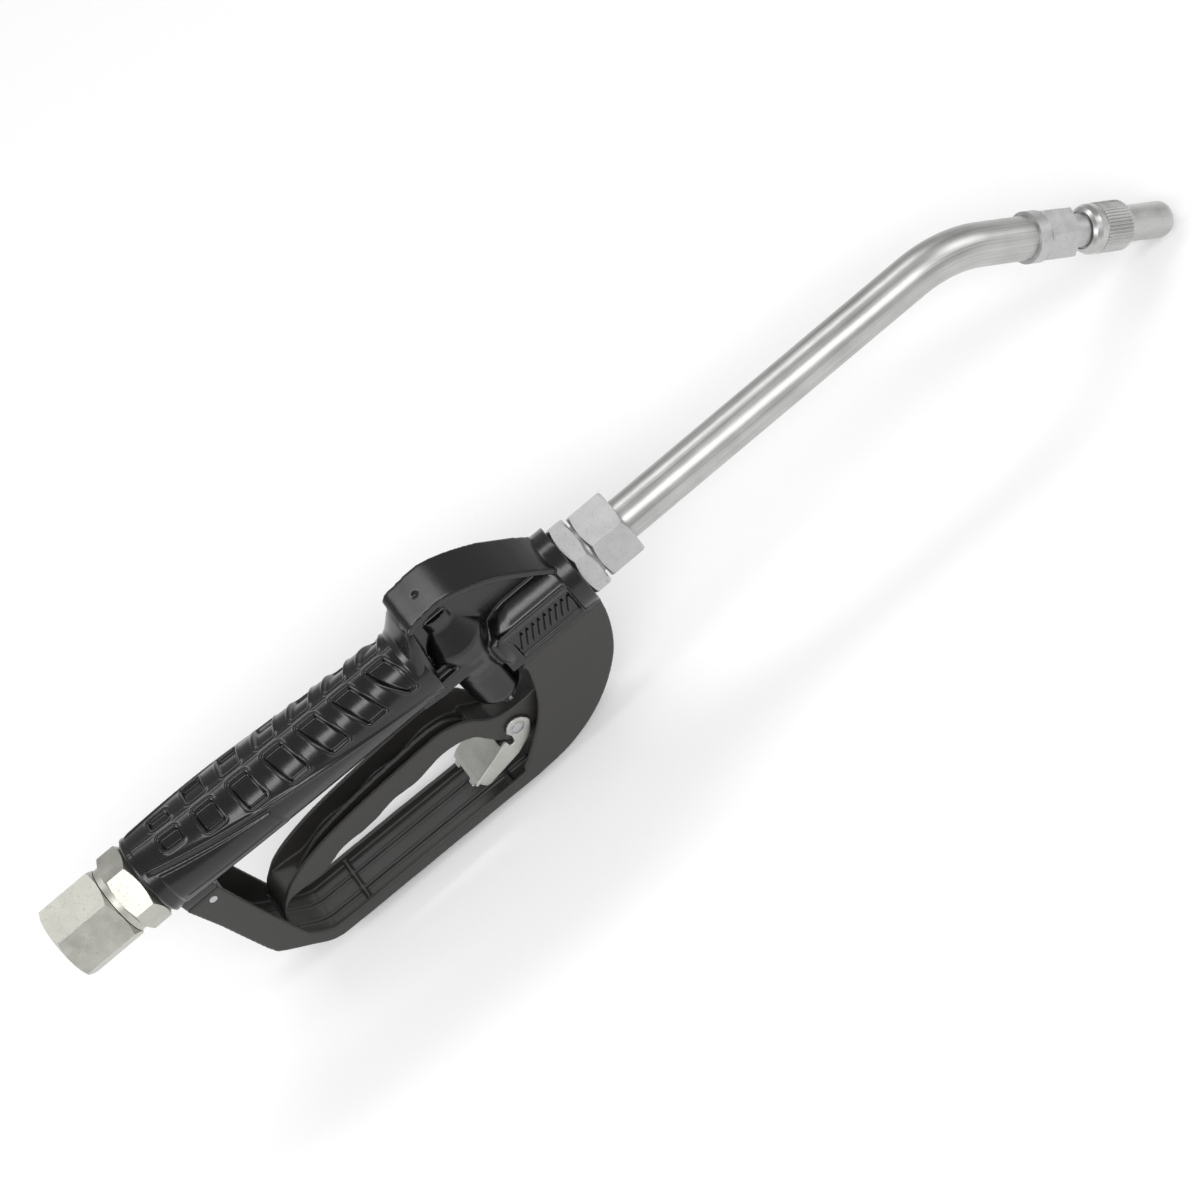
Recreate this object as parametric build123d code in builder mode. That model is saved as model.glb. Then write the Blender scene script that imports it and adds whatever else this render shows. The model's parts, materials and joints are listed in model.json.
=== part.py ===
from build123d import *
import math
import os

os.makedirs("parts", exist_ok=True)

# Frame: millimetres, origin at the middle of the inlet mouth, +X along the grip
# towards the spout, +Z up on the hump side, Y across the handle.

# ---- overall sizes ----
grip_length = 119.0          # neck of the grip to the front end of the grip
grip_half_width = 16.8       # fattest part of the grip, across
guard_drop = 86.6            # inlet axis to the lowest face of the guard
guard_half_width = 12.3
guard_wall = 1.8
spout_reach = 371.6          # inlet mouth to the start of the spout bend
spout_bend_angle = 42.0
spout_bend_radius = 40.0
spout_after_bend = 21.8

# ---- inlet ----
inlet_hex_flats = 27.0
swivel_length = 23.3
port_radius = 9.5
port_depth = 12.4
rim_thickness = 1.6
lip_thickness = 2.0
rim_radius = 8.5
spigot_start = port_depth + rim_thickness + lip_thickness + 0.4
spigot_radius = 8.5
running_gap = 0.05
swivel_gap = 0.08
adapter_flange_start = swivel_length + 0.3
adapter_flange_thickness = 2.2
adapter_hex_length = 9.8
adapter_hex_start = adapter_flange_start + adapter_flange_thickness
adapter_hex_end = adapter_hex_start + adapter_hex_length
gasket_thickness = 0.8
neck_start = adapter_hex_end + gasket_thickness
adapter_thread_radius = 9.4
adapter_thread_length = 14.0
inlet_bore_radius = 6.2

# ---- handle casting ----
neck_radius = 15.8
neck_length = 4.6
grip_end = neck_start + grip_length
valve_x = grip_end + 14.6
grip_bore_radius = 5.5
hump_half_width = 9.4
flank_half_width = 4.5
shoulder_radius = 12.6
boss_radius = 10.0
boss_bottom = -43.4
outlet_z = -18.0
barrel_radius = 14.8
barrel_start = valve_x + 16.5
block_start = valve_x + 12.0
block_top = -9.4
seam_z = -29.5
bulkhead_radius = 16.1
bulkhead_start = valve_x + 40.9
front_face = valve_x + 47.2
wrap_rear = 38.4             # rear edge of the guard post
wrap_front = 52.3
wrap_z = -15.0
foot_half_width = 12.0
front_screw_x = valve_x + 30.0
back_screw_x = valve_x + 17.5
pocket_count = 7
pocket_depth = 1.3

# ---- valve ----
chamber_radius = 6.5
chamber_top = 15.0
seat_z = -4.0
cartridge_radius = 7.45
cartridge_bottom = -36.0
gland_bottom = -42.6
stem_radius = 1.5
stem_gap = 0.05

# ---- outlet and spout ----
outlet_hex_flats = 27.0
outlet_hex_length = 7.3
outlet_spigot_radius = 8.45
outlet_spigot_length = 12.2
outlet_thread_radius = 9.8
union_flats = 25.0
union_length = 15.0
tube_radius = 7.95
tube_wall = 1.35

# ---- tip, measured along the tip axis from its flange ----
tip_flange_radius = 9.4
tip_flange_length = 5.0
tip_hex_flats = 17.4
tip_hex_end = 18.5
stub_radius = 6.1
collar_start = 26.6
collar_end = 45.2
collar_radius = 9.1
nose_radius = 6.7
nose_end = 68.0

# ---- lever, pin and latch ----
pivot_x = valve_x + 23.0
pivot_z = -50.0
pin_radius = 2.5
lever_half_width = 7.5
pad_top = -52.2
rivet_x = valve_x - 5.1
rivet_z = -60.0
rivet_radius = 2.4
latch_sheet = 1.2
latch_gap = 0.3

# ---- planes whose local x runs along each axis ----
inlet_plane = Plane(origin=(0, 0, 0), x_dir=(1, 0, 0), z_dir=(0, -1, 0))
outlet_plane = Plane(origin=(0, 0, outlet_z), x_dir=(1, 0, 0), z_dir=(0, -1, 0))
upright = Plane(origin=(valve_x, 0, 0), x_dir=(0, 0, 1), z_dir=(0, -1, 0))
bend_angle_rad = math.radians(spout_bend_angle)
bend_end_x = spout_reach + spout_bend_radius * math.sin(bend_angle_rad)
bend_end_z = outlet_z - spout_bend_radius * (1 - math.cos(bend_angle_rad))
tip_x = bend_end_x + spout_after_bend * math.cos(bend_angle_rad)
tip_z = bend_end_z - spout_after_bend * math.sin(bend_angle_rad)
tip_direction = (math.cos(bend_angle_rad), 0, -math.sin(bend_angle_rad))
tip_plane = Plane(origin=(tip_x, 0, tip_z), x_dir=tip_direction, z_dir=(0, -1, 0))


# turn a closed outline of (along, radius) points about the plane's x axis
def turned(points, plane, mode=Mode.ADD):
    with BuildSketch(plane) as outline:
        with BuildLine():
            Polyline(*points, close=True)
        make_face()
    revolve(outline.sketch, axis=Axis(plane.origin, plane.x_dir), mode=mode)


# a plain ring or rod about the plane's x axis
def ring(start, end, outer, inner, plane, mode=Mode.ADD):
    if inner > 0:
        turned([(start, inner), (start, outer), (end, outer), (end, inner)], plane, mode)
    else:
        turned([(start, 0), (start, outer), (end, outer), (end, 0)], plane, mode)


# a round section ring, for seals
def torus_ring(centre, ring_radius, section_radius, plane):
    with BuildSketch(plane) as outline:
        with Locations((centre, ring_radius)):
            Circle(section_radius)
    revolve(outline.sketch, axis=Axis(plane.origin, plane.x_dir))


# a hexagon bar along the plane's x axis, its first corner turned from +Y
def hexagon(start, end, flats, turn, plane, mode=Mode.ADD):
    base = Plane(
        origin=plane.origin + plane.x_dir * start,
        x_dir=(0, 1, 0),
        z_dir=plane.x_dir,
    )
    with BuildSketch(base) as outline:
        RegularPolygon(flats / 2, 6, major_radius=False, rotation=turn)
    extrude(outline.sketch, amount=end - start, mode=mode)


# cut the corners of a hexagon back to a cone at one or both ends
def hexagon_chamfer(start, end, flats, left, right, plane):
    corner = flats / math.sqrt(3) + 0.01
    reach = corner - flats / 2 * 0.985
    points = [(start, 0)]
    if left:
        points = points + [(start, corner - reach), (start + reach * 0.55, corner)]
    else:
        points = points + [(start, corner)]
    if right:
        points = points + [(end - reach * 0.55, corner), (end, corner - reach)]
    else:
        points = points + [(end, corner)]
    points = points + [(end, 0)]
    turned(points, plane, Mode.INTERSECT)


# extrude a closed side outline of (x, z) points to both sides of the middle
def side_plate(points, half_width, mode=Mode.ADD):
    with BuildSketch(Plane.XZ) as outline:
        with BuildLine():
            Polyline(*points, close=True)
        make_face()
    extrude(outline.sketch, amount=half_width, both=True, mode=mode)


# plate whose side outline is given as stretches: two points make a straight line, more
# points a smooth curve, and straight lines join each stretch to the next
def curved_plate(stretches, half_width, mode=Mode.ADD):
    with BuildSketch(Plane.XZ) as outline:
        with BuildLine():
            for number, stretch in enumerate(stretches):
                following = stretches[(number + 1) % len(stretches)]
                if len(stretch) > 2:
                    Spline(*stretch)
                else:
                    Line(*stretch)
                Line(stretch[-1], following[0])
        make_face()
    extrude(outline.sketch, amount=half_width, both=True, mode=mode)


def save(part, label):
    part.label = label
    export_step(part, "parts/" + label + ".step")


# ================= inlet swivel =================

with BuildPart() as swivel_nut:
    hexagon(0, swivel_length, inlet_hex_flats, 2.3, inlet_plane)
    hexagon_chamfer(0, swivel_length, inlet_hex_flats, True, True, inlet_plane)
    ring(-1, port_depth, port_radius, 0, inlet_plane, Mode.SUBTRACT)
    ring(0, port_depth + rim_thickness, rim_radius + running_gap, 0, inlet_plane, Mode.SUBTRACT)
    ring(0, swivel_length, 7.0, 0, inlet_plane, Mode.SUBTRACT)
    ring(spigot_start - 0.4, swivel_length + 1, spigot_radius + swivel_gap, 0,
         inlet_plane, Mode.SUBTRACT)
    ring(swivel_length - 2.4, swivel_length - 1.2, 9.2, 0, inlet_plane, Mode.SUBTRACT)
save(swivel_nut.part, "swivel_nut")

with BuildPart() as inlet_strainer:
    rim_end = port_depth + rim_thickness - 0.05
    cup_end = port_depth + 18.2
    ring(port_depth, rim_end, rim_radius, 5.3, inlet_plane)
    turned([(rim_end, 5.3), (rim_end, 5.7), (cup_end - 0.6, 3.2), (cup_end, 3.2),
            (cup_end, 0), (cup_end - 0.6, 0), (cup_end - 0.6, 2.8)], inlet_plane)
    with BuildSketch(Plane.XZ) as slots:
        with GridLocations(3.0, 0, 4, 1):
            with Locations((port_depth + 9.1, 0)):
                Rectangle(1.6, 1.8)
    extrude(slots.sketch, amount=8, both=True, mode=Mode.SUBTRACT)
save(inlet_strainer.part, "inlet_strainer")

with BuildPart() as inlet_adapter:
    ring(spigot_start, adapter_flange_start + 1, spigot_radius, 0, inlet_plane)
    ring(adapter_flange_start, adapter_hex_start, 13.2, 0, inlet_plane)
    with BuildPart(mode=Mode.PRIVATE) as adapter_hex:
        hexagon(adapter_hex_start, adapter_hex_end, inlet_hex_flats, 41.5, inlet_plane)
        hexagon_chamfer(adapter_hex_start, adapter_hex_end, inlet_hex_flats,
                        True, True, inlet_plane)
    add(adapter_hex.part)
    ring(adapter_hex_end - 1, adapter_hex_end + adapter_thread_length,
         adapter_thread_radius, 0, inlet_plane)
    ring(0, adapter_hex_end + 30, inlet_bore_radius, 0, inlet_plane, Mode.SUBTRACT)
    ring(spigot_start + 1.2, spigot_start + 3.4, 9.0, 6.9, inlet_plane, Mode.SUBTRACT)
    ring(swivel_length - 2.4, swivel_length - 1.2, 9.0, 7.6, inlet_plane, Mode.SUBTRACT)
save(inlet_adapter.part, "inlet_adapter")

with BuildPart() as swivel_oring:
    torus_ring(spigot_start + 2.3, 7.72, 0.8, inlet_plane)
save(swivel_oring.part, "swivel_oring")

with BuildPart() as swivel_clip:
    ring(swivel_length - 2.3, swivel_length - 1.3, 9.1, 7.65, inlet_plane)
    with BuildSketch(Plane.XZ) as clip_gap:
        with Locations((swivel_length - 1.8, 8.5)):
            Rectangle(2.0, 3.0)
    extrude(clip_gap.sketch, amount=1.0, both=True, mode=Mode.SUBTRACT)
save(swivel_clip.part, "swivel_clip")

with BuildPart() as inlet_gasket:
    ring(adapter_hex_end, neck_start, 13.0, adapter_thread_radius + 0.05, inlet_plane)
save(inlet_gasket.part, "inlet_gasket")

# ================= handle casting =================

# grip stations: share of the grip length, half width, half height, middle height
grip_stations = [
    (0.00, neck_radius, neck_radius, 0.0),
    (0.05, grip_half_width * 0.97, 14.9, -0.1),
    (0.20, grip_half_width, 14.4, -0.5),
    (0.50, grip_half_width * 0.96, 14.7, -2.2),
    (0.80, grip_half_width * 0.87, 15.2, -3.5),
    (1.00, grip_half_width * 0.845, 15.1, -4.0),
]

hump_outline = [
    (valve_x - 24.0, -14.0), (valve_x - 22.0, 8.0), (valve_x - 17.0, 13.0),
    (valve_x - 13.5, 18.0), (valve_x - 9.5, 22.4), (valve_x - 4.0, 23.6),
    (valve_x + 2.0, 24.3), (valve_x + 8.0, 23.6), (valve_x + 14.0, 20.8),
    (valve_x + 20.0, 17.3), (valve_x + 26.4, 12.8), (valve_x + 33.0, 6.4),
    (valve_x + 38.3, 0.4), (valve_x + 42.0, -5.0), (valve_x + 42.0, -14.0),
]

with BuildPart() as valve_body:
    # the neck ring and the grip
    ring(neck_start, neck_start + neck_length + 2, neck_radius, 0, inlet_plane)
    stations = []
    for share, half_width, half_height, middle in grip_stations:
        station_x = neck_start + neck_length + share * (grip_length - neck_length)
        base = Plane(origin=(station_x, 0, middle), x_dir=(0, 1, 0), z_dir=(1, 0, 0))
        with BuildSketch(base) as station:
            Ellipse(half_width, half_height)
        stations = stations + [station.sketch.face()]
    loft(stations)
    # the hump over the valve: a wide top band on narrower flanks
    with BuildSketch(Plane.XZ) as hump:
        with BuildLine():
            Spline(*hump_outline[1:14])
            Polyline(hump_outline[13], hump_outline[14], hump_outline[0], hump_outline[1])
        make_face()
    extrude(hump.sketch, amount=flank_half_width, both=True)
    with BuildSketch(Plane.XZ) as band:
        with BuildLine():
            Spline(*hump_outline[1:14])
            Polyline(hump_outline[13], (valve_x + 34.0, -4.0), (valve_x + 26.0, 5.0),
                     (valve_x + 16.0, 12.5), (valve_x + 4.0, 16.5),
                     (valve_x - 6.0, 16.0), (valve_x - 14.0, 8.0), hump_outline[1])
        make_face()
    extrude(band.sketch, amount=hump_half_width, both=True)
    # the upright valve boss, which widens to a coned shoulder under the hump
    turned([(boss_bottom, 0), (boss_bottom, boss_radius - 3.2), (boss_bottom + 1.6, boss_radius - 0.4),
            (boss_bottom + 3.4, boss_radius), (-24.0, boss_radius), (-14.0, shoulder_radius - 1.1),
            (-8.0, shoulder_radius - 0.2), (-1.8, shoulder_radius), (8.6, 7.2), (14.0, 7.0),
            (14.0, 0)], upright)
    # the outlet barrel, the square block under it and the front bulkhead
    turned([(barrel_start, 0), (barrel_start, barrel_radius - 4.0),
            (barrel_start + 1.6, barrel_radius - 1.2), (barrel_start + 4.0, barrel_radius),
            (front_face, barrel_radius), (front_face, 0)], outlet_plane)
    side_plate([(block_start, block_top), (block_start, seam_z),
                (front_face - 0.2, seam_z), (front_face - 0.2, block_top)], guard_half_width)
    side_plate([(valve_x + 6.0, -14.0), (valve_x + 6.0, seam_z + 2.0),
                (block_start + 1.0, seam_z + 2.0), (block_start + 1.0, -14.0)], 9.0)
    ring(bulkhead_start, front_face, bulkhead_radius, 0, outlet_plane)
    side_plate([(bulkhead_start, outlet_z), (bulkhead_start, seam_z),
                (front_face, seam_z), (front_face, outlet_z)], guard_half_width + 0.6)
    # the foot that the guard post stands under, cut flat along the seam
    side_plate([(wrap_rear, -6.0), (wrap_rear, wrap_z), (wrap_front, wrap_z),
                (wrap_front, -6.0)], foot_half_width)
    side_plate([(neck_start - 1, wrap_z), (neck_start - 1, -30), (wrap_front + 1.8, -30),
                (wrap_front + 0.1, wrap_z)], 30, Mode.SUBTRACT)
    # flat seam with the front of the guard
    side_plate([(block_start, seam_z), (block_start, seam_z - 10), (front_face + 5, seam_z - 10),
                (front_face + 5, seam_z)], 30, Mode.SUBTRACT)
    # flat recessed panel on each side of the block
    for side in (-1, 1):
        with BuildSketch(Plane.XZ.offset(side * guard_half_width)) as panel:
            with Locations(((block_start + bulkhead_start) / 2 + 0.2, -20.0)):
                RectangleRounded(bulkhead_start - block_start - 1.6, 13.0, 1.6)
        extrude(panel.sketch, amount=-side * 0.8, mode=Mode.SUBTRACT)
    # finger pockets down both sides of the grip
    for side in (-1, 1):
        for number in range(pocket_count):
            share = number / (pocket_count - 1)
            pocket_x = neck_start + 15.0 + share * (grip_length - 30.0)
            tilt = math.radians(30.0 + 4.0 * share)
            reach = grip_half_width * (1.0 - 0.13 * share)
            drop = -0.2 - 3.6 * share
            out = (0, side * math.sin(tilt), math.cos(tilt))
            height = (14.9 * reach / math.hypot(14.9 * math.sin(tilt), reach * math.cos(tilt)))
            middle = (pocket_x, out[1] * height, drop + out[2] * height)
            with BuildSketch(Plane(origin=middle, x_dir=(1, 0, 0), z_dir=out)) as pocket:
                RectangleRounded(8.6 + 4.0 * share, 9.0 + 4.5 * share, 2.0)
            extrude(pocket.sketch, amount=-pocket_depth, mode=Mode.SUBTRACT)
            extrude(pocket.sketch, amount=4.0, mode=Mode.SUBTRACT)
    # passages: grip bore, valve chamber, cartridge bore, outlet bore
    ring(neck_start - 1, adapter_hex_end + adapter_thread_length + 0.6,
         adapter_thread_radius + 0.05, 0, inlet_plane, Mode.SUBTRACT)
    ring(neck_start, valve_x, grip_bore_radius, 0, inlet_plane, Mode.SUBTRACT)
    with BuildSketch(Plane.XY.offset(seat_z)) as chamber:
        with Locations((valve_x, 0)):
            Circle(chamber_radius)
    extrude(chamber.sketch, amount=chamber_top - seat_z, mode=Mode.SUBTRACT)
    with BuildSketch(Plane.XY.offset(seat_z)) as cartridge_bore:
        with Locations((valve_x, 0)):
            Circle(cartridge_radius + running_gap)
    extrude(cartridge_bore.sketch, amount=boss_bottom - seat_z - 1, mode=Mode.SUBTRACT)
    ring(valve_x, front_face, 5.0, 0, outlet_plane, Mode.SUBTRACT)
    ring(front_face - outlet_spigot_length - 0.4, front_face + 1,
         outlet_spigot_radius + running_gap, 0, outlet_plane, Mode.SUBTRACT)
    # screw holes for the guard
    with BuildSketch(Plane.XY.offset(seam_z - 1)) as guard_holes:
        with Locations((front_screw_x, 7.0), (back_screw_x, -7.0)):
            Circle(1.65)
    extrude(guard_holes.sketch, amount=8.5, mode=Mode.SUBTRACT)
save(valve_body.part, "valve_body")

# ================= valve inside the boss =================

with BuildPart() as valve_cartridge:
    with BuildSketch(Plane.XY.offset(cartridge_bottom)) as cartridge:
        with Locations((valve_x, 0)):
            Circle(cartridge_radius)
    extrude(cartridge.sketch, amount=seat_z - 0.1 - cartridge_bottom)
    # seat pocket, flow chamber, stem bore, seal pocket
    ring(seat_z - 2.2, seat_z + 1, 5.4, 0, upright, Mode.SUBTRACT)
    ring(-27.0, seat_z, 4.4, 0, upright, Mode.SUBTRACT)
    ring(-26.0, -9.0, 5.0, 0, upright, Mode.SUBTRACT)
    ring(cartridge_bottom - 1, -20, stem_radius + stem_gap, 0, upright, Mode.SUBTRACT)
    ring(cartridge_bottom - 1, cartridge_bottom + 3.0, 4.0, 0, upright, Mode.SUBTRACT)
    # outer groove and cross holes towards the outlet
    ring(outlet_z - 4, outlet_z + 4, 9.0, 6.5, upright, Mode.SUBTRACT)
    ring(-30.4, -28.4, 9.0, 5.8, upright, Mode.SUBTRACT)
    with BuildSketch(Plane.YZ.offset(valve_x)) as cross_hole:
        with Locations((0, outlet_z)):
            Circle(3.0)
    extrude(cross_hole.sketch, amount=12, both=True, mode=Mode.SUBTRACT)
    with BuildSketch(Plane.XZ) as side_hole:
        with Locations((valve_x, outlet_z)):
            Circle(3.0)
    extrude(side_hole.sketch, amount=12, both=True, mode=Mode.SUBTRACT)
save(valve_cartridge.part, "valve_cartridge")

with BuildPart() as valve_seat:
    ring(seat_z - 2.15, seat_z - 0.1, 5.38, 3.2, upright)
save(valve_seat.part, "valve_seat")

with BuildPart() as cartridge_oring:
    torus_ring(-29.4, 6.62, 0.8, upright)
save(cartridge_oring.part, "cartridge_oring")

with BuildPart() as stem_seal:
    ring(cartridge_bottom + 0.1, cartridge_bottom + 2.95, 3.95, stem_radius + 0.03, upright)
save(stem_seal.part, "stem_seal")

with BuildPart() as gland_nut:
    ring(gland_bottom, cartridge_bottom - 0.05, cartridge_radius, 0, upright)
    with BuildSketch(Plane.XY.offset(gland_bottom)) as key_hole:
        with Locations((valve_x, 0)):
            RegularPolygon(3.0, 6, major_radius=False)
    extrude(key_hole.sketch, amount=3.5, mode=Mode.SUBTRACT)
    ring(gland_bottom - 1, cartridge_bottom, stem_radius + 0.3, 0, upright, Mode.SUBTRACT)
save(gland_nut.part, "gland_nut")

with BuildPart() as valve_stem:
    turned([(pad_top + 0.3, 0), (pad_top + 0.5, 0.9), (pad_top + 1.1, stem_radius),
            (seat_z + 2.4, stem_radius), (seat_z + 2.4, 0)], upright)
save(valve_stem.part, "valve_stem")

with BuildPart() as poppet:
    ring(seat_z + 1.1, seat_z + 3.1, 5.0, 0, upright)
    ring(seat_z + 0.1, seat_z + 1.1, 2.7, 0, upright)
    ring(seat_z + 3.1, seat_z + 7.8, 2.5, 0, upright)
    ring(seat_z, seat_z + 2.4, stem_radius + 0.01, 0, upright, Mode.SUBTRACT)
save(poppet.part, "poppet")

with BuildPart() as poppet_seal:
    ring(seat_z + 0.1, seat_z + 1.05, 4.9, 2.75, upright)
save(poppet_seal.part, "poppet_seal")

spring_wire = 0.55
with BuildPart() as valve_spring:
    spring_start = seat_z + 3.1 + spring_wire + 0.05
    spring_height = chamber_top - spring_start - spring_wire - 0.05
    with BuildLine() as spring_path:
        Helix(pitch=spring_height / 6, height=spring_height, radius=3.6,
              center=(valve_x, 0, spring_start))
    with BuildSketch(Plane(origin=spring_path.line @ 0, z_dir=spring_path.line % 0)) as wire:
        Circle(spring_wire)
    sweep(wire.sketch, path=spring_path.line, is_frenet=True)
save(valve_spring.part, "valve_spring")

# ================= outlet =================

hex_start = front_face
hex_end = hex_start + outlet_hex_length
union_start = hex_end + 1.0
union_end = union_start + union_length
neck_tip = union_start + 8.3

with BuildPart() as outlet_adapter:
    hexagon(hex_start, hex_end, outlet_hex_flats, 11.4, outlet_plane)
    hexagon_chamfer(hex_start, hex_end, outlet_hex_flats, True, True, outlet_plane)
    ring(hex_start - outlet_spigot_length, hex_start + 1, outlet_spigot_radius, 0, outlet_plane)
    ring(hex_end - 1, neck_tip, outlet_thread_radius, 0, outlet_plane)
    ring(hex_start - 20, hex_start + 3, 5.5, 0, outlet_plane, Mode.SUBTRACT)
    ring(hex_start + 1.0, neck_tip + 1, tube_radius + running_gap, 0, outlet_plane,
         Mode.SUBTRACT)
    ring(hex_start - 10.2, hex_start - 8.0, 10.0, 6.8, outlet_plane, Mode.SUBTRACT)
save(outlet_adapter.part, "outlet_adapter")

with BuildPart() as outlet_oring:
    torus_ring(hex_start - 9.1, 7.63, 0.8, outlet_plane)
save(outlet_oring.part, "outlet_oring")

with BuildPart() as union_nut:
    hexagon(union_start, union_end, union_flats, 10.0, outlet_plane)
    hexagon_chamfer(union_start, union_end, union_flats, True, True, outlet_plane)
    cone_end = union_end - 1.8
    cavity = outlet_thread_radius + running_gap
    turned([(union_start - 1, 0), (union_start - 1, cavity), (cone_end - 3, cavity),
            (cone_end, tube_radius + 0.1), (union_end + 1, tube_radius + 0.1),
            (union_end + 1, 0)], outlet_plane, Mode.SUBTRACT)
save(union_nut.part, "union_nut")

with BuildPart() as spout_ferrule:
    turned([(neck_tip + 0.1, tube_radius + 0.02), (neck_tip + 0.1, cavity - 0.25),
            (cone_end - 3.3, cavity - 0.25), (cone_end - 1.0, tube_radius + 0.55),
            (cone_end - 1.0, tube_radius + 0.02)], outlet_plane)
save(spout_ferrule.part, "spout_ferrule")

with BuildPart() as spout_tube:
    tube_start = hex_start + 1.1
    bend_middle_x = spout_reach + spout_bend_radius * math.sin(bend_angle_rad / 2)
    bend_middle_z = outlet_z - spout_bend_radius * (1 - math.cos(bend_angle_rad / 2))
    socket_depth = 4.2
    tube_end_x = tip_x + socket_depth * tip_direction[0]
    tube_end_z = tip_z + socket_depth * tip_direction[2]
    with BuildLine() as tube_path:
        Line((tube_start, 0, outlet_z), (spout_reach, 0, outlet_z))
        ThreePointArc((spout_reach, 0, outlet_z), (bend_middle_x, 0, bend_middle_z),
                      (bend_end_x, 0, bend_end_z))
        Line((bend_end_x, 0, bend_end_z), (tube_end_x, 0, tube_end_z))
    tube_mouth = Plane(origin=(tube_start, 0, outlet_z), x_dir=(0, 1, 0), z_dir=(1, 0, 0))
    with BuildSketch(tube_mouth) as tube_section:
        Circle(tube_radius)
        Circle(tube_radius - tube_wall, mode=Mode.SUBTRACT)
    sweep(tube_section.sketch, path=tube_path.line)
save(spout_tube.part, "spout_tube")

# ================= twist tip =================

stub_end = collar_end - 5.2
guide_radius = 4.9

with BuildPart() as tip_adapter:
    ring(0, tip_flange_length, tip_flange_radius, 0, tip_plane)
    with BuildPart(mode=Mode.PRIVATE) as tip_hex:
        hexagon(tip_flange_length, tip_hex_end, tip_hex_flats, 24.0, tip_plane)
        hexagon_chamfer(tip_flange_length, tip_hex_end, tip_hex_flats, True, False, tip_plane)
    add(tip_hex.part)
    ring(tip_hex_end - 1, stub_end, stub_radius, 0, tip_plane)
    ring(stub_end - 1, stub_end + 12, guide_radius, 0, tip_plane)
    ring(-1, 4.3, tube_radius + 0.03, 0, tip_plane, Mode.SUBTRACT)
    ring(0, tip_hex_end, 5.0, 0, tip_plane, Mode.SUBTRACT)
    ring(0, stub_end + 20, 2.9, 0, tip_plane, Mode.SUBTRACT)
    ring(collar_start + 0.6, collar_start + 1.8, 9.0, 5.2, tip_plane, Mode.SUBTRACT)
    ring(collar_end - 6.7, collar_end - 5.6, 9.0, 5.2, tip_plane, Mode.SUBTRACT)
    ring(stub_end + 7.0, stub_end + 8.4, 9.0, 3.95, tip_plane, Mode.SUBTRACT)
save(tip_adapter.part, "tip_adapter")

for clip_start, label in ((collar_start + 0.7, "rear_clip"), (collar_end - 6.65, "front_clip")):
    with BuildPart() as tip_clip:
        ring(clip_start, clip_start + 1.0, 6.85, 5.25, tip_plane)
        gap_plane = Plane(origin=tip_plane.origin + tip_plane.x_dir * (clip_start + 0.5),
                          x_dir=(0, 1, 0), z_dir=tip_plane.x_dir)
        with BuildSketch(gap_plane) as gap:
            with Locations((6.0, 0)):
                Rectangle(3.0, 2.2)
        extrude(gap.sketch, amount=2, both=True, mode=Mode.SUBTRACT)
    save(tip_clip.part, label)

with BuildPart() as nose_oring:
    torus_ring(stub_end + 7.7, 4.42, 0.45, tip_plane)
save(nose_oring.part, "nose_oring")

with BuildPart() as tip_spindle:
    ring(stub_end + 3.0, stub_end + 5.0, 2.88, 0, tip_plane)
    with BuildSketch(Plane(origin=tip_plane.origin + tip_plane.x_dir * (stub_end + 2.0),
                           x_dir=(0, 1, 0), z_dir=tip_plane.x_dir)) as flow_holes:
        with PolarLocations(2.0, 3):
            Circle(0.7)
    extrude(flow_holes.sketch, amount=4, mode=Mode.SUBTRACT)
    turned([(stub_end + 4.5, 0), (stub_end + 4.5, 1.1), (nose_end - 8.0, 1.1),
            (nose_end - 6.8, 3.3), (nose_end - 6.0, 3.3), (nose_end - 4.9, 2.2),
            (nose_end - 4.9, 0)], tip_plane)
save(tip_spindle.part, "tip_spindle")

nose_start = collar_end - 3.2

with BuildPart() as tip_nose:
    turned([(nose_start, 0), (nose_start, nose_radius), (nose_end - 5.5, nose_radius),
            (nose_end - 3.2, nose_radius - 0.8), (nose_end - 1.4, nose_radius - 2.2),
            (nose_end, nose_radius - 4.0), (nose_end, 0)], tip_plane)
    ring(nose_start - 1, stub_end + 15, guide_radius + running_gap, 0, tip_plane, Mode.SUBTRACT)
    turned([(nose_start, 0), (nose_start, 3.9), (nose_end - 5.8, 3.9), (nose_end - 4.4, 2.4),
            (nose_end + 1, 2.4), (nose_end + 1, 0)], tip_plane, Mode.SUBTRACT)
save(tip_nose.part, "tip_nose")

with BuildPart() as tip_collar:
    turned([(collar_start, 0), (collar_start, collar_radius - 1.7),
            (collar_start + 2.6, collar_radius), (collar_end - 0.8, collar_radius),
            (collar_end, collar_radius - 0.8), (collar_end, 0)], tip_plane)
    ring(collar_start - 1, collar_start + 2.0, 7.2, 0, tip_plane, Mode.SUBTRACT)
    ring(collar_start, collar_end, stub_radius + running_gap, 0, tip_plane, Mode.SUBTRACT)
    ring(collar_end - 7.0, collar_end + 1, nose_radius + 0.08, 0, tip_plane, Mode.SUBTRACT)
    ring(collar_end - 7.0, collar_end - 3.4, 7.4, 0, tip_plane, Mode.SUBTRACT)
    knurl_plane = Plane(origin=tip_plane.origin + tip_plane.x_dir * (collar_start + 5.0),
                        x_dir=(0, 1, 0), z_dir=tip_plane.x_dir)
    with BuildSketch(knurl_plane) as knurl:
        with PolarLocations(collar_radius + 0.25, 30):
            RegularPolygon(0.65, 4, rotation=45)
    extrude(knurl.sketch, amount=collar_end - collar_start - 7.0, mode=Mode.SUBTRACT)
save(tip_collar.part, "tip_collar")

# ================= guard =================

# side outline points: ("rear" or "front" anchor, x offset, share of the guard drop)
def guard_points(rows):
    points = []
    for anchor, offset, height in rows:
        base = wrap_rear if anchor == "rear" else valve_x
        points.append((base + offset, -height / 86.6 * guard_drop))
    return points


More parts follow.
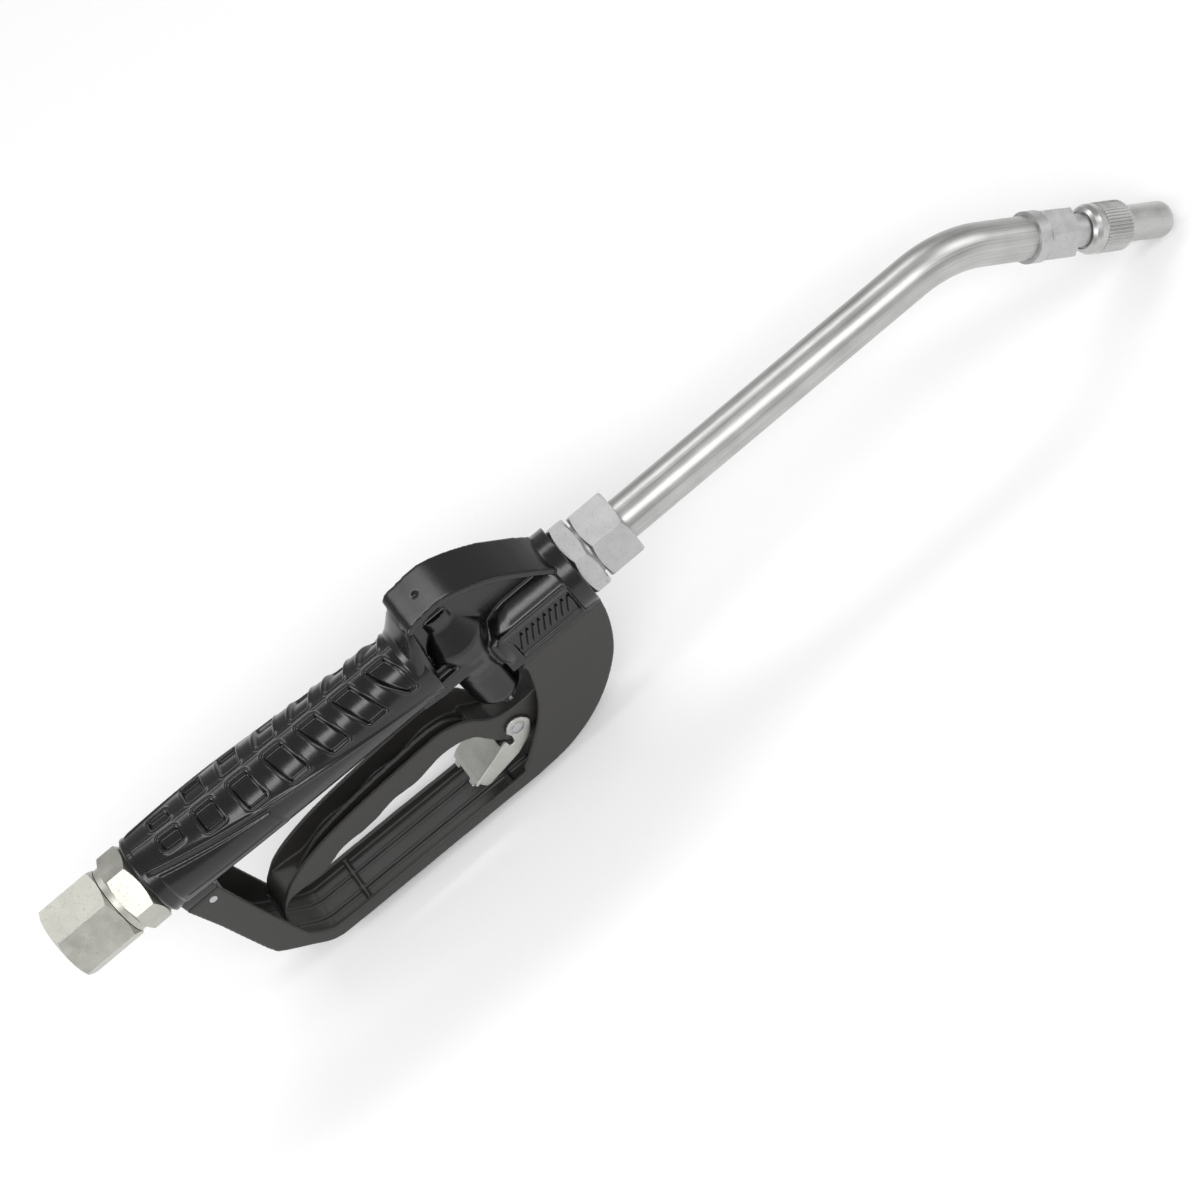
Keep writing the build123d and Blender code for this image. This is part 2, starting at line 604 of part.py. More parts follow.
guard_outer = guard_points([
    ("rear", 3.4, 33.0), ("rear", 6.9, 57.0), ("rear", 8.2, 64.0),
    ("rear", 9.9, 68.0), ("rear", 19.5, 77.7), ("rear", 24.3, 82.5), ("rear", 28.1, 84.3),
    ("rear", 34.0, 85.0), ("front", -20.0, 86.5), ("front", -10.0, 86.6),
    ("front", 2.0, 85.6), ("front", 10.0, 83.3), ("front", 17.0, 80.0),
    ("front", 24.0, 75.3), ("front", 30.0, 69.7), ("front", 35.0, 63.8),
    ("front", 39.4, 57.2), ("front", 42.5, 50.2), ("front", 44.8, 43.0),
    ("front", 46.3, 36.0),
])
guard_inner = guard_points([
    ("front", 11.4, 35.0), ("front", 10.8, 38.0), ("front", 9.3, 44.5),
    ("front", 6.0, 54.0), ("front", 0.5, 63.5), ("front", -7.5, 73.0),
    ("front", -13.0, 78.0), ("front", -18.0, 80.6), ("rear", 70.0, 79.4),
    ("rear", 34.0, 78.7), ("rear", 27.6, 77.0), ("rear", 23.6, 73.0),
    ("rear", 20.8, 66.0), ("rear", 15.5, 29.0),
])
guard_hollow = guard_points([
    ("rear", 4.8, 22.0), ("rear", 6.3, 33.0), ("rear", 9.7, 57.0), ("rear", 11.0, 63.6),
    ("rear", 12.5, 66.6), ("rear", 21.1, 75.6), ("rear", 25.8, 80.2), ("rear", 29.0, 81.8),
    ("rear", 34.0, 82.5), ("front", -20.0, 84.0), ("front", -10.0, 84.1),
    ("front", 1.5, 83.1), ("front", 9.0, 80.9), ("front", 15.6, 77.8),
    ("front", 22.4, 73.2), ("front", 28.2, 67.8), ("front", 33.0, 62.2),
    ("front", 37.2, 55.8), ("front", 40.2, 49.1), ("front", 42.4, 42.3),
    ("front", 43.6, 36.0),
])

with BuildPart() as trigger_guard:
    seam_line = [(front_face - 0.1, seam_z), (block_start, seam_z)]
    foot_line = [(wrap_front, wrap_z), (wrap_rear, wrap_z)]
    curved_plate([guard_outer, seam_line, guard_inner, foot_line], guard_half_width)
    hollow_roof = [(valve_x + 43.8, seam_z - 3.2), (block_start - 3, seam_z - 3.2)]
    hollow_back = [(block_start - 8, -50.0), (wrap_rear + 40.0, -40.0)]
    hollow_foot = [(wrap_rear + 16.0, -22.0), (wrap_rear + 4.8, -22.0)]
    curved_plate([guard_hollow[1:], hollow_roof, hollow_back, hollow_foot],
                 guard_half_width - guard_wall, Mode.SUBTRACT)
    # stiffening ribs on the floor of the channel
    floor_z = -82.6 / 86.6 * guard_drop
    for rib_y in (-4.0, 4.0):
        with BuildSketch(Plane.XZ.offset(-rib_y)) as floor_rib:
            with BuildLine():
                Polyline((wrap_rear + 36.0, floor_z + 0.8), (wrap_rear + 36.0, floor_z - 0.8),
                         (valve_x - 24.0, floor_z - 2.2), (valve_x - 24.0, floor_z - 0.4),
                         close=True)
            make_face()
        extrude(floor_rib.sketch, amount=0.6, both=True)
    with BuildSketch(Plane.XZ) as cross_ribs:
        with Locations((wrap_rear + 45.6, floor_z + 0.2), (valve_x - 20.0, floor_z - 0.5)):
            Rectangle(1.4, 2.6)
    extrude(cross_ribs.sketch, amount=guard_half_width - 1.0, both=True)
    # pin bosses inside the shell
    for side in (-1, 1):
        with BuildSketch(Plane.XZ.offset(side * (lever_half_width + 0.4))) as pin_boss:
            with Locations((pivot_x, pivot_z)):
                Circle(5.0)
        extrude(pin_boss.sketch, amount=side * (guard_half_width - 1.2 - lever_half_width))
    with BuildSketch(Plane.XZ) as pin_hole:
        with Locations((pivot_x, pivot_z)):
            Circle(pin_radius + 0.02)
    extrude(pin_hole.sketch, amount=guard_half_width - 1.0, both=True, mode=Mode.SUBTRACT)
    # clearance holes for the two front screws, cross hole for the rear one
    with BuildSketch(Plane.XY.offset(seam_z + 1)) as screw_holes:
        with Locations((front_screw_x, 7.0), (back_screw_x, -7.0)):
            Circle(1.7)
    extrude(screw_holes.sketch, amount=-6, mode=Mode.SUBTRACT)
    with BuildSketch(Plane.XZ) as rear_hole:
        with Locations((wrap_front - 4.5, wrap_z - 3.2)):
            Circle(1.55)
    extrude(rear_hole.sketch, amount=20, both=True, mode=Mode.SUBTRACT)
save(trigger_guard.part, "trigger_guard")

for screw_x, screw_y, label in ((front_screw_x, 7.0, "guard_screw_a"),
                                (back_screw_x, -7.0, "guard_screw_b")):
    with BuildPart() as guard_screw:
        shaft = Plane(origin=(screw_x, screw_y, 0), x_dir=(0, 0, 1), z_dir=(0, -1, 0))
        ring(seam_z - 3.25, seam_z + 6.5, 1.6, 0, shaft)
        ring(seam_z - 5.1, seam_z - 3.25, 1.62, 0, shaft)
        turned([(seam_z - 5.1, 0), (seam_z - 5.1, 1.5), (seam_z - 4.6, 2.6),
                (seam_z - 3.25, 2.6), (seam_z - 3.25, 0)], shaft)
        with BuildSketch(Plane.XY.offset(seam_z - 5.1)) as drive:
            with Locations((screw_x, screw_y)):
                Rectangle(2.6, 0.6)
                Rectangle(0.6, 2.6)
        extrude(drive.sketch, amount=1.0, mode=Mode.SUBTRACT)
    save(guard_screw.part, label)

with BuildPart() as guard_pin:
    cross = Plane(origin=(wrap_front - 4.5, 0, wrap_z - 3.2), x_dir=(0, 1, 0), z_dir=(0, 0, 1))
    ring(-guard_half_width, guard_half_width + 0.05, 1.5, 0, cross)
    turned([(guard_half_width + 0.05, 0), (guard_half_width + 0.05, 2.6),
            (guard_half_width + 0.7, 2.3), (guard_half_width + 1.1, 1.2),
            (guard_half_width + 1.1, 0)], cross)
save(guard_pin.part, "guard_pin")

with BuildPart() as lever_pin:
    across = Plane(origin=(pivot_x, 0, pivot_z), x_dir=(0, -1, 0), z_dir=(0, 0, -1))
    reach = guard_half_width - 1.1
    turned([(-reach, 0), (-reach, pin_radius - 0.4), (-reach + 0.4, pin_radius),
            (reach - 0.4, pin_radius), (reach, pin_radius - 0.4), (reach, 0)], across)
save(lever_pin.part, "lever_pin")

# ================= lever =================

lever_rear = wrap_rear + 18.6


def lever_points(rows):
    points = []
    for anchor, offset, height in rows:
        base = lever_rear if anchor == "rear" else valve_x
        points.append((base + offset, height))
    return points


lever_top = lever_points([
    ("rear", 0.2, -60.5), ("rear", 2.7, -56.0), ("rear", 6.5, -51.5), ("rear", 11.0, -47.4),
    ("rear", 18.2, -43.9), ("rear", 29.1, -40.8), ("rear", 40.0, -39.0),
    ("rear", 54.1, -37.6), ("rear", 68.0, -36.7), ("front", -31.0, -36.0),
    ("front", -25.5, -36.4), ("front", -20.0, -38.2), ("front", -15.5, -41.6),
    ("front", -11.8, -46.8), ("front", -8.6, -51.0), ("front", -5.0, -52.2),
    ("front", 8.0, -52.2), ("front", 14.0, -49.0), ("front", 18.5, -45.2),
    ("front", 23.0, -44.0), ("front", 27.4, -46.0), ("front", 29.0, -50.0),
    ("front", 27.0, -54.6),
])
lever_under = lever_points([
    ("front", 20.0, -57.5), ("front", 12.0, -62.5), ("front", 2.0, -65.6),
    ("front", -9.0, -65.6), ("front", -12.6, -62.5), ("front", -15.9, -56.0),
    ("front", -19.0, -50.2), ("front", -24.0, -47.2), ("front", -31.4, -46.0),
    ("front", -38.6, -47.4), ("front", -44.0, -48.6), ("rear", 64.0, -48.3),
    ("rear", 58.6, -47.8), ("rear", 53.2, -48.9), ("rear", 49.6, -49.9),
    ("rear", 42.4, -50.5), ("rear", 37.2, -50.1), ("rear", 31.8, -50.7),
    ("rear", 28.1, -52.3), ("rear", 20.7, -54.7), ("rear", 13.7, -53.9),
    ("rear", 6.6, -54.2), ("rear", 2.5, -58.5), ("rear", 0.4, -64.2), ("rear", -0.8, -62.6),
])

with BuildPart() as lever:
    with BuildSketch(Plane.XZ) as lever_side:
        with BuildLine():
            Spline(*lever_top)
            Line(lever_top[-1], lever_under[0])
            Spline(*lever_under[:5])
            Spline(*lever_under[4:])
            Line(lever_under[-1], lever_top[0])
        make_face()
    extrude(lever_side.sketch, amount=lever_half_width, both=True)
    # the open channel behind the step, its floor following the finger grips
    channel = [(x, z + 2.2) for x, z in lever_under[6:-2]]
    channel = channel + [(lever_rear + 4.0, -40.0), (lever_rear + 20.0, -30.0),
                         (valve_x - 8.0, -30.0), (valve_x - 8.0, -52.0)]
    with BuildSketch(Plane.XZ) as channel_side:
        with BuildLine():
            Polyline(*channel, close=True)
        make_face()
    extrude(channel_side.sketch, amount=lever_half_width - 1.6, both=True, mode=Mode.SUBTRACT)
    # low rib along the middle of the channel
    with BuildSketch(Plane.XZ) as middle_rib:
        with BuildLine():
            Spline((lever_rear + 14.0, -51.0), (lever_rear + 24.0, -46.5),
                   (lever_rear + 40.0, -42.8), (lever_rear + 60.0, -40.6),
                   (valve_x - 30.0, -39.2), (valve_x - 20.0, -42.0))
            Polyline((valve_x - 20.0, -42.0), (valve_x - 24.0, -46.5),
                     (lever_rear + 60.0, -46.5), (lever_rear + 40.0, -49.0),
                     (lever_rear + 20.0, -53.0), (lever_rear + 14.0, -51.0))
        make_face()
    extrude(middle_rib.sketch, amount=0.8, both=True)
    # hollow under the front part
    hollow_under = [(valve_x + 2.0, -70.0), (valve_x + 2.0, -56.0),
                    (valve_x + 14.0, -54.5), (valve_x + 16.0, -70.0)]
    side_plate(hollow_under, lever_half_width - 2.0, Mode.SUBTRACT)
    # pad seat, pin hole, rivet hole
    with BuildSketch(Plane.XY.offset(pad_top + 1)) as pad_seat:
        with Locations((valve_x, 0)):
            Circle(3.52)
    extrude(pad_seat.sketch, amount=-2.8, mode=Mode.SUBTRACT)
    with BuildSketch(Plane.XZ) as bores:
        with Locations((pivot_x, pivot_z)):
            Circle(pin_radius + running_gap)
        with Locations((rivet_x, rivet_z)):
            Circle(rivet_radius + 0.01)
    extrude(bores.sketch, amount=20, both=True, mode=Mode.SUBTRACT)
    # round pocket for the latch spring, on the far side
    with BuildSketch(Plane.XZ.offset(-lever_half_width)) as spring_pocket:
        with Locations((rivet_x, rivet_z)):
            Circle(4.6)
    extrude(spring_pocket.sketch, amount=1.8, mode=Mode.SUBTRACT)
save(lever.part, "lever")

with BuildPart() as stem_pad:
    ring(pad_top - 1.78, pad_top, 3.5, 0, upright)
save(stem_pad.part, "stem_pad")

ear_inside = lever_half_width + latch_gap
ear_outside = ear_inside + latch_sheet

with BuildPart() as latch_rivet:
    rivet_line = Plane(origin=(rivet_x, 0, rivet_z), x_dir=(0, -1, 0), z_dir=(0, 0, -1))
    ring(-ear_outside - 0.2, ear_outside + 0.2, rivet_radius, 0, rivet_line)
    for side in (-1, 1):
        start = side * (ear_outside + 0.1)
        turned([(start, 0), (start, 3.7), (start + side * 0.5, 3.5),
                (start + side * 1.0, 2.2), (start + side * 1.0, 0)], rivet_line)
save(latch_rivet.part, "latch_rivet")

with BuildPart() as latch_spring:
    torus_ring(-lever_half_width + 0.85, 3.5, 0.6, rivet_line)
save(latch_spring.part, "latch_spring")

# ================= latch =================

def latch_points(rows):
    return [(rivet_x + x, rivet_z + z) for x, z in rows]


latch_ear = latch_points([
    (-6.6, -2.4), (-6.3, -6.2), (-4.2, -6.0), (-3.6, -2.2), (-4.6, 0.8), (-3.4, 3.0),
    (-1.6, 4.5), (0.0, 4.9), (1.8, 4.5), (3.6, 3.2), (4.9, 1.0), (5.4, -1.2), (3.4, -5.4),
    (1.2, -8.5), (-5.8, -12.6), (-21.0, -16.2), (-22.6, -15.6), (-23.6, -13.6), (-23.6, -10.6),
])
latch_web = latch_points([
    (-9.4, -3.8), (-23.5, -10.5), (-26.8, -13.2), (-26.1, -14.1), (-22.8, -11.5), (-8.9, -4.9),
])

with BuildPart() as latch:
    with BuildSketch(Plane.XZ) as ear:
        with BuildLine():
            Polyline(*latch_ear, close=True)
        make_face()
    extrude(ear.sketch, amount=ear_outside, both=True)
    extrude(ear.sketch, amount=ear_inside, both=True, mode=Mode.SUBTRACT)
    side_plate(latch_web, ear_outside - 0.2)
    # notch in the lower end of the web
    with BuildSketch(Plane.YZ.offset(rivet_x - 32.0)) as notch:
        with Locations((0, rivet_z - 13.4)):
            RectangleRounded(7.6, 3.4, 0.8)
    extrude(notch.sketch, amount=6, mode=Mode.SUBTRACT)
    with BuildSketch(Plane.XZ) as rivet_hole:
        with Locations((rivet_x, rivet_z)):
            Circle(rivet_radius + running_gap)
    extrude(rivet_hole.sketch, amount=20, both=True, mode=Mode.SUBTRACT)
save(latch.part, "latch")
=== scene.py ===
import bmesh
import bpy
import json
import math
import numpy as np
from mathutils import Matrix, Vector


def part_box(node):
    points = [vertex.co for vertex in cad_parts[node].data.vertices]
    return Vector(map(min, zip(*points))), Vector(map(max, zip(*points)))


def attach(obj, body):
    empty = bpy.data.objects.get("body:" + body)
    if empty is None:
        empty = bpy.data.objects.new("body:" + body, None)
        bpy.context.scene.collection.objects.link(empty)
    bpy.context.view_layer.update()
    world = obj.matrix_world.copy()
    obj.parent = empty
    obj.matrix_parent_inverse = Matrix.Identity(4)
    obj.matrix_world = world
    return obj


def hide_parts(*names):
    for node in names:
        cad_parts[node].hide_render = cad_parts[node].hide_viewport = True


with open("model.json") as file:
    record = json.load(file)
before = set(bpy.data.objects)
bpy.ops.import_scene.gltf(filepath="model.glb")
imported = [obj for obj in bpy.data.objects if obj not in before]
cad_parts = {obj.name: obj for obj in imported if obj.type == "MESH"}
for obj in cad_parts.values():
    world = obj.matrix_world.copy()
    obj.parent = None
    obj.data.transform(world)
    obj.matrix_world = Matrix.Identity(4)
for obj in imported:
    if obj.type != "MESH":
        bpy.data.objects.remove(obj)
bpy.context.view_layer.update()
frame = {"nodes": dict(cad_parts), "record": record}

print("frame loaded:", len(frame["nodes"]), "nodes")

triangleLimit = 190000

# shapes are worked out in millimetres and turned to metres when a piece is finished


def hexLinear(code):
    channels = [int(code[i:i + 2], 16) / 255 for i in (1, 3, 5)]
    return [c / 12.92 if c <= 0.04045 else ((c + 0.055) / 1.055) ** 2.4 for c in channels] + [1.0]


def softStep(value, width):
    t = np.clip(value / width, 0.0, 1.0)
    return t * t * (3 - 2 * t)


def curveThrough(points, steps=6):
    # Catmull-Rom curve through (x, z) points
    pts = [np.array(p, float) for p in points]
    last = len(pts) - 1
    line = []
    for i in range(last):
        p0, p1, p2, p3 = pts[max(i - 1, 0)], pts[i], pts[i + 1], pts[min(i + 2, last)]
        for k in range(steps):
            t = k / steps
            line.append(0.5 * ((2 * p1) + (p2 - p0) * t + (2 * p0 - 5 * p1 + 4 * p2 - p3) * t ** 2
                               + (3 * p1 - p0 - 3 * p2 + p3) * t ** 3))
    line.append(pts[-1])
    return [tuple(p) for p in line]


def prism(outline, low, high):
    # closed plate: an (x, z) outline standing from y=low to y=high
    area = sum(a[0] * b[1] - b[0] * a[1] for a, b in zip(outline, outline[1:] + outline[:1]))
    if area > 0:
        outline = outline[::-1]
    n = len(outline)
    verts = [(x, low, z) for x, z in outline] + [(x, high, z) for x, z in outline]
    faces = [tuple(range(n - 1, -1, -1)), tuple(range(n, 2 * n))]
    faces += [(i, (i + 1) % n, n + (i + 1) % n, n + i) for i in range(n)]
    return verts, faces


def box(low, high):
    (x0, y0, z0), (x1, y1, z1) = low, high
    return prism([(x0, z0), (x1, z0), (x1, z1), (x0, z1)], y0, y1)


def lathe(profile, origin=(0, 0, 0), axis=(1, 0, 0), around=96):
    # closed outline of (along, radius) points, or one that starts and ends on the axis
    axis = Vector(axis).normalized()
    side = Vector((1, 0, 0)) if abs(axis.y) > 0.9 else Vector((0, 1, 0))
    up = axis.cross(side)
    meetsAxis = profile[0][1] < 1e-6 and profile[-1][1] < 1e-6
    rings = profile[1:-1] if meetsAxis else profile
    verts = []
    for along, radius in rings:
        for k in range(around):
            a = 2 * math.pi * k / around
            p = Vector(origin) + axis * along + (side * math.cos(a) + up * math.sin(a)) * radius
            verts.append(tuple(p))
    faces = []
    rows = len(rings)
    for i in range(rows - 1 if meetsAxis else rows):
        j = (i + 1) % rows
        for k in range(around):
            m = (k + 1) % around
            faces.append((i * around + k, j * around + k, j * around + m, i * around + m))
    if meetsAxis:
        for which, ring in ((0, 0), (-1, rows - 1)):
            verts.append(tuple(Vector(origin) + axis * profile[which][0]))
            tip = len(verts) - 1
            for k in range(around):
                m = (k + 1) % around
                faces.append((tip, ring * around + m, ring * around + k)[::-1 if which else 1])
    return verts, faces


def loft(rings):
    # closed skin over rings of the same number of points, capped at both ends
    n = len(rings[0])
    verts = [tuple(p) for ring in rings for p in ring]
    faces = [(i * n + k, i * n + (k + 1) % n, (i + 1) * n + (k + 1) % n, (i + 1) * n + k)
             for i in range(len(rings) - 1) for k in range(n)]
    faces.append(tuple(range(n - 1, -1, -1)))
    faces.append(tuple(range((len(rings) - 1) * n, len(rings) * n)))
    return verts, faces


def newPiece(name, shells):
    verts, faces = [], []
    for shellVerts, shellFaces in shells:
        start = len(verts)
        verts += shellVerts
        faces += [tuple(start + i for i in face) for face in shellFaces]
    mesh = bpy.data.meshes.new(name)
    mesh.from_pydata(verts, [], faces)
    mesh.validate()
    piece = bpy.data.objects.new(name, mesh)
    bpy.context.scene.collection.objects.link(piece)
    return piece


def applyModifiers(piece):
    graph = bpy.context.evaluated_depsgraph_get()
    mesh = bpy.data.meshes.new_from_object(piece.evaluated_get(graph))
    piece.modifiers.clear()
    old = piece.data
    piece.data = mesh
    bpy.data.meshes.remove(old)


def outward(piece):
    # weld the seams and turn every face outwards
    work = bmesh.new()
    work.from_mesh(piece.data)
    bmesh.ops.remove_doubles(work, verts=work.verts, dist=1e-5)
    bmesh.ops.recalc_face_normals(work, faces=work.faces)
    work.to_mesh(piece.data)
    work.free()


def melt(piece, voxel, passes, limit):
    # join overlapping shells into one skin with softened edges, then thin it to a triangle limit
    remesh = piece.modifiers.new("join", "REMESH")
    remesh.mode = "VOXEL"
    remesh.voxel_size = voxel
    soften = piece.modifiers.new("soften", "SMOOTH")
    soften.factor = 0.5
    soften.iterations = passes
    applyModifiers(piece)
    triangles = len(piece.data.polygons) * 2
    if triangles > limit:
        thin = piece.modifiers.new("thin", "DECIMATE")
        thin.ratio = limit / triangles
        applyModifiers(piece)


def finish(piece, body, material, stands=(), smooth=True, angle=None):
    piece.data.transform(Matrix.Scale(0.001, 4))
    if smooth:
        piece.data.shade_smooth()
        if angle:
            piece.data.set_sharp_from_angle(angle=math.radians(angle))
    piece.data.materials.clear()
    piece.data.materials.append(material)
    if stands:
        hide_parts(*stands)
    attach(piece, body)
    print("made", piece.name, len(piece.data.polygons), "faces")
    return piece


# finishes, each a small node tree on the object's own coordinates


def startMaterial(name):
    material = bpy.data.materials.new(name)
    material.use_nodes = True
    tree = material.node_tree
    tree.nodes.clear()
    return material, tree


def addNode(tree, kind, links=None, **settings):
    # a node with its settings; links maps input name or number to an output socket
    node = tree.nodes.new(kind)
    for key, value in settings.items():
        if hasattr(node, key):
            setattr(node, key, value)
        else:
            node.inputs[key.replace("_", " ")].default_value = value
    for key, source in (links or {}).items():
        tree.links.new(source, node.inputs[key])
    return node


def surface(tree, values, links):
    shader = addNode(tree, "ShaderNodeBsdfPrincipled")
    for key, value in values.items():
        shader.inputs[key].default_value = value
    for key, source in links.items():
        tree.links.new(source, shader.inputs[key])
    addNode(tree, "ShaderNodeOutputMaterial", {"Surface": shader.outputs[0]})


def perMetre(sizeMm):
    return 1000.0 / sizeMm          # noise scale for a grain of this size


def ramp(tree, source, stops):
    node = addNode(tree, "ShaderNodeValToRGB", {"Fac": source})
    while len(node.color_ramp.elements) < len(stops):
        node.color_ramp.elements.new(0.5)
    for element, (place, colour) in zip(node.color_ramp.elements, stops):
        element.position = place
        element.color = hexLinear(colour) if isinstance(colour, str) else (colour,) * 3 + (1,)
    return node.outputs[0]


def darkened(tree, base, marks, share):
    # base colour multiplied by lighter and darker marks
    mix = addNode(tree, "ShaderNodeMix", data_type="RGBA", blend_type="MULTIPLY")
    mix.inputs[0].default_value = share
    tree.links.new(base, mix.inputs[6])
    tree.links.new(marks, mix.inputs[7])
    return mix.outputs[2]


def castingPaint():
    # black stove paint over an as-cast aluminium skin: deep, glossy black with a faint cast grain
    material, tree = startMaterial("blackPaintOnDieCasting")
    place = addNode(tree, "ShaderNodeTexCoord").outputs["Object"]
    grain = addNode(tree, "ShaderNodeTexNoise", {"Vector": place}, Scale=perMetre(0.8), Detail=3.0)
    flow = addNode(tree, "ShaderNodeTexNoise", {"Vector": place}, Scale=perMetre(14.0), Detail=3.0)
    colour = ramp(tree, flow.outputs[0], [(0.3, "#070707"), (0.7, "#0b0a0a")])
    rough = ramp(tree, grain.outputs[0], [(0.3, 0.19), (0.7, 0.27)])
    low = addNode(tree, "ShaderNodeBump", {"Height": flow.outputs[0]}, Strength=0.25, Distance=0.0003)
    fine = addNode(tree, "ShaderNodeBump", {"Height": grain.outputs[0], "Normal": low.outputs[0]},
                   Strength=0.12, Distance=0.00004)
    surface(tree, {"IOR": 1.52}, {"Base Color": colour, "Roughness": rough, "Normal": fine.outputs[0]})
    return material


def mouldedNylon():
    # black glass-filled nylon, spark-eroded mould finish: even satin dark grey
    material, tree = startMaterial("blackMouldedNylon")
    place = addNode(tree, "ShaderNodeTexCoord").outputs["Object"]
    spark = addNode(tree, "ShaderNodeTexNoise", {"Vector": place}, Scale=perMetre(0.5), Detail=2.0)
    cloud = addNode(tree, "ShaderNodeTexNoise", {"Vector": place}, Scale=perMetre(22.0), Detail=4.0)
    colour = ramp(tree, cloud.outputs[0], [(0.3, "#262524"), (0.7, "#2d2c2a")])
    rough = ramp(tree, cloud.outputs[0], [(0.3, 0.46), (0.7, 0.55)])
    bump = addNode(tree, "ShaderNodeBump", {"Height": spark.outputs[0]}, Strength=0.25, Distance=0.00005)
    surface(tree, {"IOR": 1.52}, {"Base Color": colour, "Roughness": rough, "Normal": bump.outputs[0]})
    return material


def zincPlate(name, dark, light, roughLow, roughHigh):
    # zinc-plated bar-stock steel: soft grey with turning marks, pits and handling scuffs
    material, tree = startMaterial(name)
    place = addNode(tree, "ShaderNodeTexCoord").outputs["Object"]
    cloud = addNode(tree, "ShaderNodeTexNoise", {"Vector": place}, Scale=perMetre(6.0), Detail=6.0)
    pits = addNode(tree, "ShaderNodeTexNoise", {"Vector": place}, Scale=perMetre(0.9), Detail=5.0)
    along = addNode(tree, "ShaderNodeMapping", {"Vector": place}, Scale=(0.12, 1.0, 1.0))
    drawn = addNode(tree, "ShaderNodeTexNoise", {"Vector": along.outputs[0]}, Scale=perMetre(0.7), Detail=2.0)
    base = ramp(tree, cloud.outputs[0], [(0.25, dark), (0.75, light)])
    spots = ramp(tree, pits.outputs[0], [(0.33, "#b4b4b0"), (0.42, "#ffffff")])
    colour = darkened(tree, base, spots, 0.3)
    rough = ramp(tree, cloud.outputs[0], [(0.3, roughLow), (0.7, roughHigh)])
    marks = addNode(tree, "ShaderNodeBump", {"Height": drawn.outputs[0]}, Strength=0.25, Distance=0.00004)
    bump = addNode(tree, "ShaderNodeBump", {"Height": spots, "Normal": marks.outputs[0]},
                   Strength=0.5, Distance=0.00006)
    surface(tree, {"Metallic": 1.0}, {"Base Color": colour, "Roughness": rough,
                                      "Normal": bump.outputs[0]})
    return material


def drawnTube():
    # satin plated drawn tube: long die lines, read from the tube's own map
    material, tree = startMaterial("satinPlatedDrawnTube")
    mapped = addNode(tree, "ShaderNodeUVMap", uv_map="along").outputs[0]
    lines = addNode(tree, "ShaderNodeMapping", {"Vector": mapped}, Scale=(0.02, 1.4, 1.0))
    streak = addNode(tree, "ShaderNodeTexNoise", {"Vector": lines.outputs[0]}, Scale=1.0, Detail=5.0)
    cloud = addNode(tree, "ShaderNodeTexNoise", {"Vector": mapped}, Scale=0.08, Detail=6.0)
    base = ramp(tree, cloud.outputs[0], [(0.3, "#b8b8b6"), (0.7, "#c8c8c7")])
    shade = ramp(tree, streak.outputs[0], [(0.35, "#dedede"), (0.65, "#ffffff")])
    colour = darkened(tree, base, shade, 0.7)
    rough = ramp(tree, streak.outputs[0], [(0.3, 0.34), (0.7, 0.46)])
    bump = addNode(tree, "ShaderNodeBump", {"Height": streak.outputs[0]}, Strength=0.3, Distance=0.00004)
    surface(tree, {"Metallic": 1.0}, {"Base Color": colour, "Roughness": rough,
                                      "Normal": bump.outputs[0]})
    return material


def plainFinish(name, colour, metallic, roughness, grainMm, grainDepth):
    # small inner parts: turned steel, brass, rubber, sealing plastic, each with its own fine grain
    material, tree = startMaterial(name)
    place = addNode(tree, "ShaderNodeTexCoord").outputs["Object"]
    grain = addNode(tree, "ShaderNodeTexNoise", {"Vector": place}, Scale=perMetre(grainMm), Detail=3.0)
    rough = ramp(tree, grain.outputs[0], [(0.3, roughness * 0.85), (0.7, roughness * 1.2)])
    bump = addNode(tree, "ShaderNodeBump", {"Height": grain.outputs[0]}, Strength=0.3, Distance=grainDepth)
    surface(tree, {"Base Color": hexLinear(colour), "Metallic": metallic},
            {"Roughness": rough, "Normal": bump.outputs[0]})
    return material


finishes = {
    "painted_casting": castingPaint(),
    "black_nylon": mouldedNylon(),
    "zinc_plate": zincPlate("warmZincPlate", "#b3b3aa", "#c4c4bd", 0.40, 0.52),
    "grey_zinc_plate": zincPlate("greyZincPlate", "#b4b4b4", "#c6c6c6", 0.40, 0.52),
    "plated_tube": drawnTube(),
    "bright_plate": zincPlate("brightPlate", "#b4b4b3", "#c4c4c3", 0.26, 0.38),
    "latch_zinc": zincPlate("brightZincSheet", "#b8b9b3", "#cacac5", 0.38, 0.48),
    "bright_steel": plainFinish("turnedSteel", "#b9babb", 1.0, 0.28, 0.6, 0.00003),
    "brass": plainFinish("turnedBrass", "#c9a45c", 1.0, 0.28, 0.6, 0.00003),
    "black_rubber": plainFinish("nitrileRubber", "#161616", 0.0, 0.6, 0.8, 0.00004),
    "white_plastic": plainFinish("sealingPlastic", "#dedbd2", 0.0, 0.4, 1.5, 0.00003),
}
slotOf = {row["node"]: row["material_slot"] for row in frame["record"]["subparts"]}
for name, node in frame["nodes"].items():
    node.data.materials.clear()
    node.data.materials.append(finishes[slotOf[name]])
print("materials:", len(finishes))

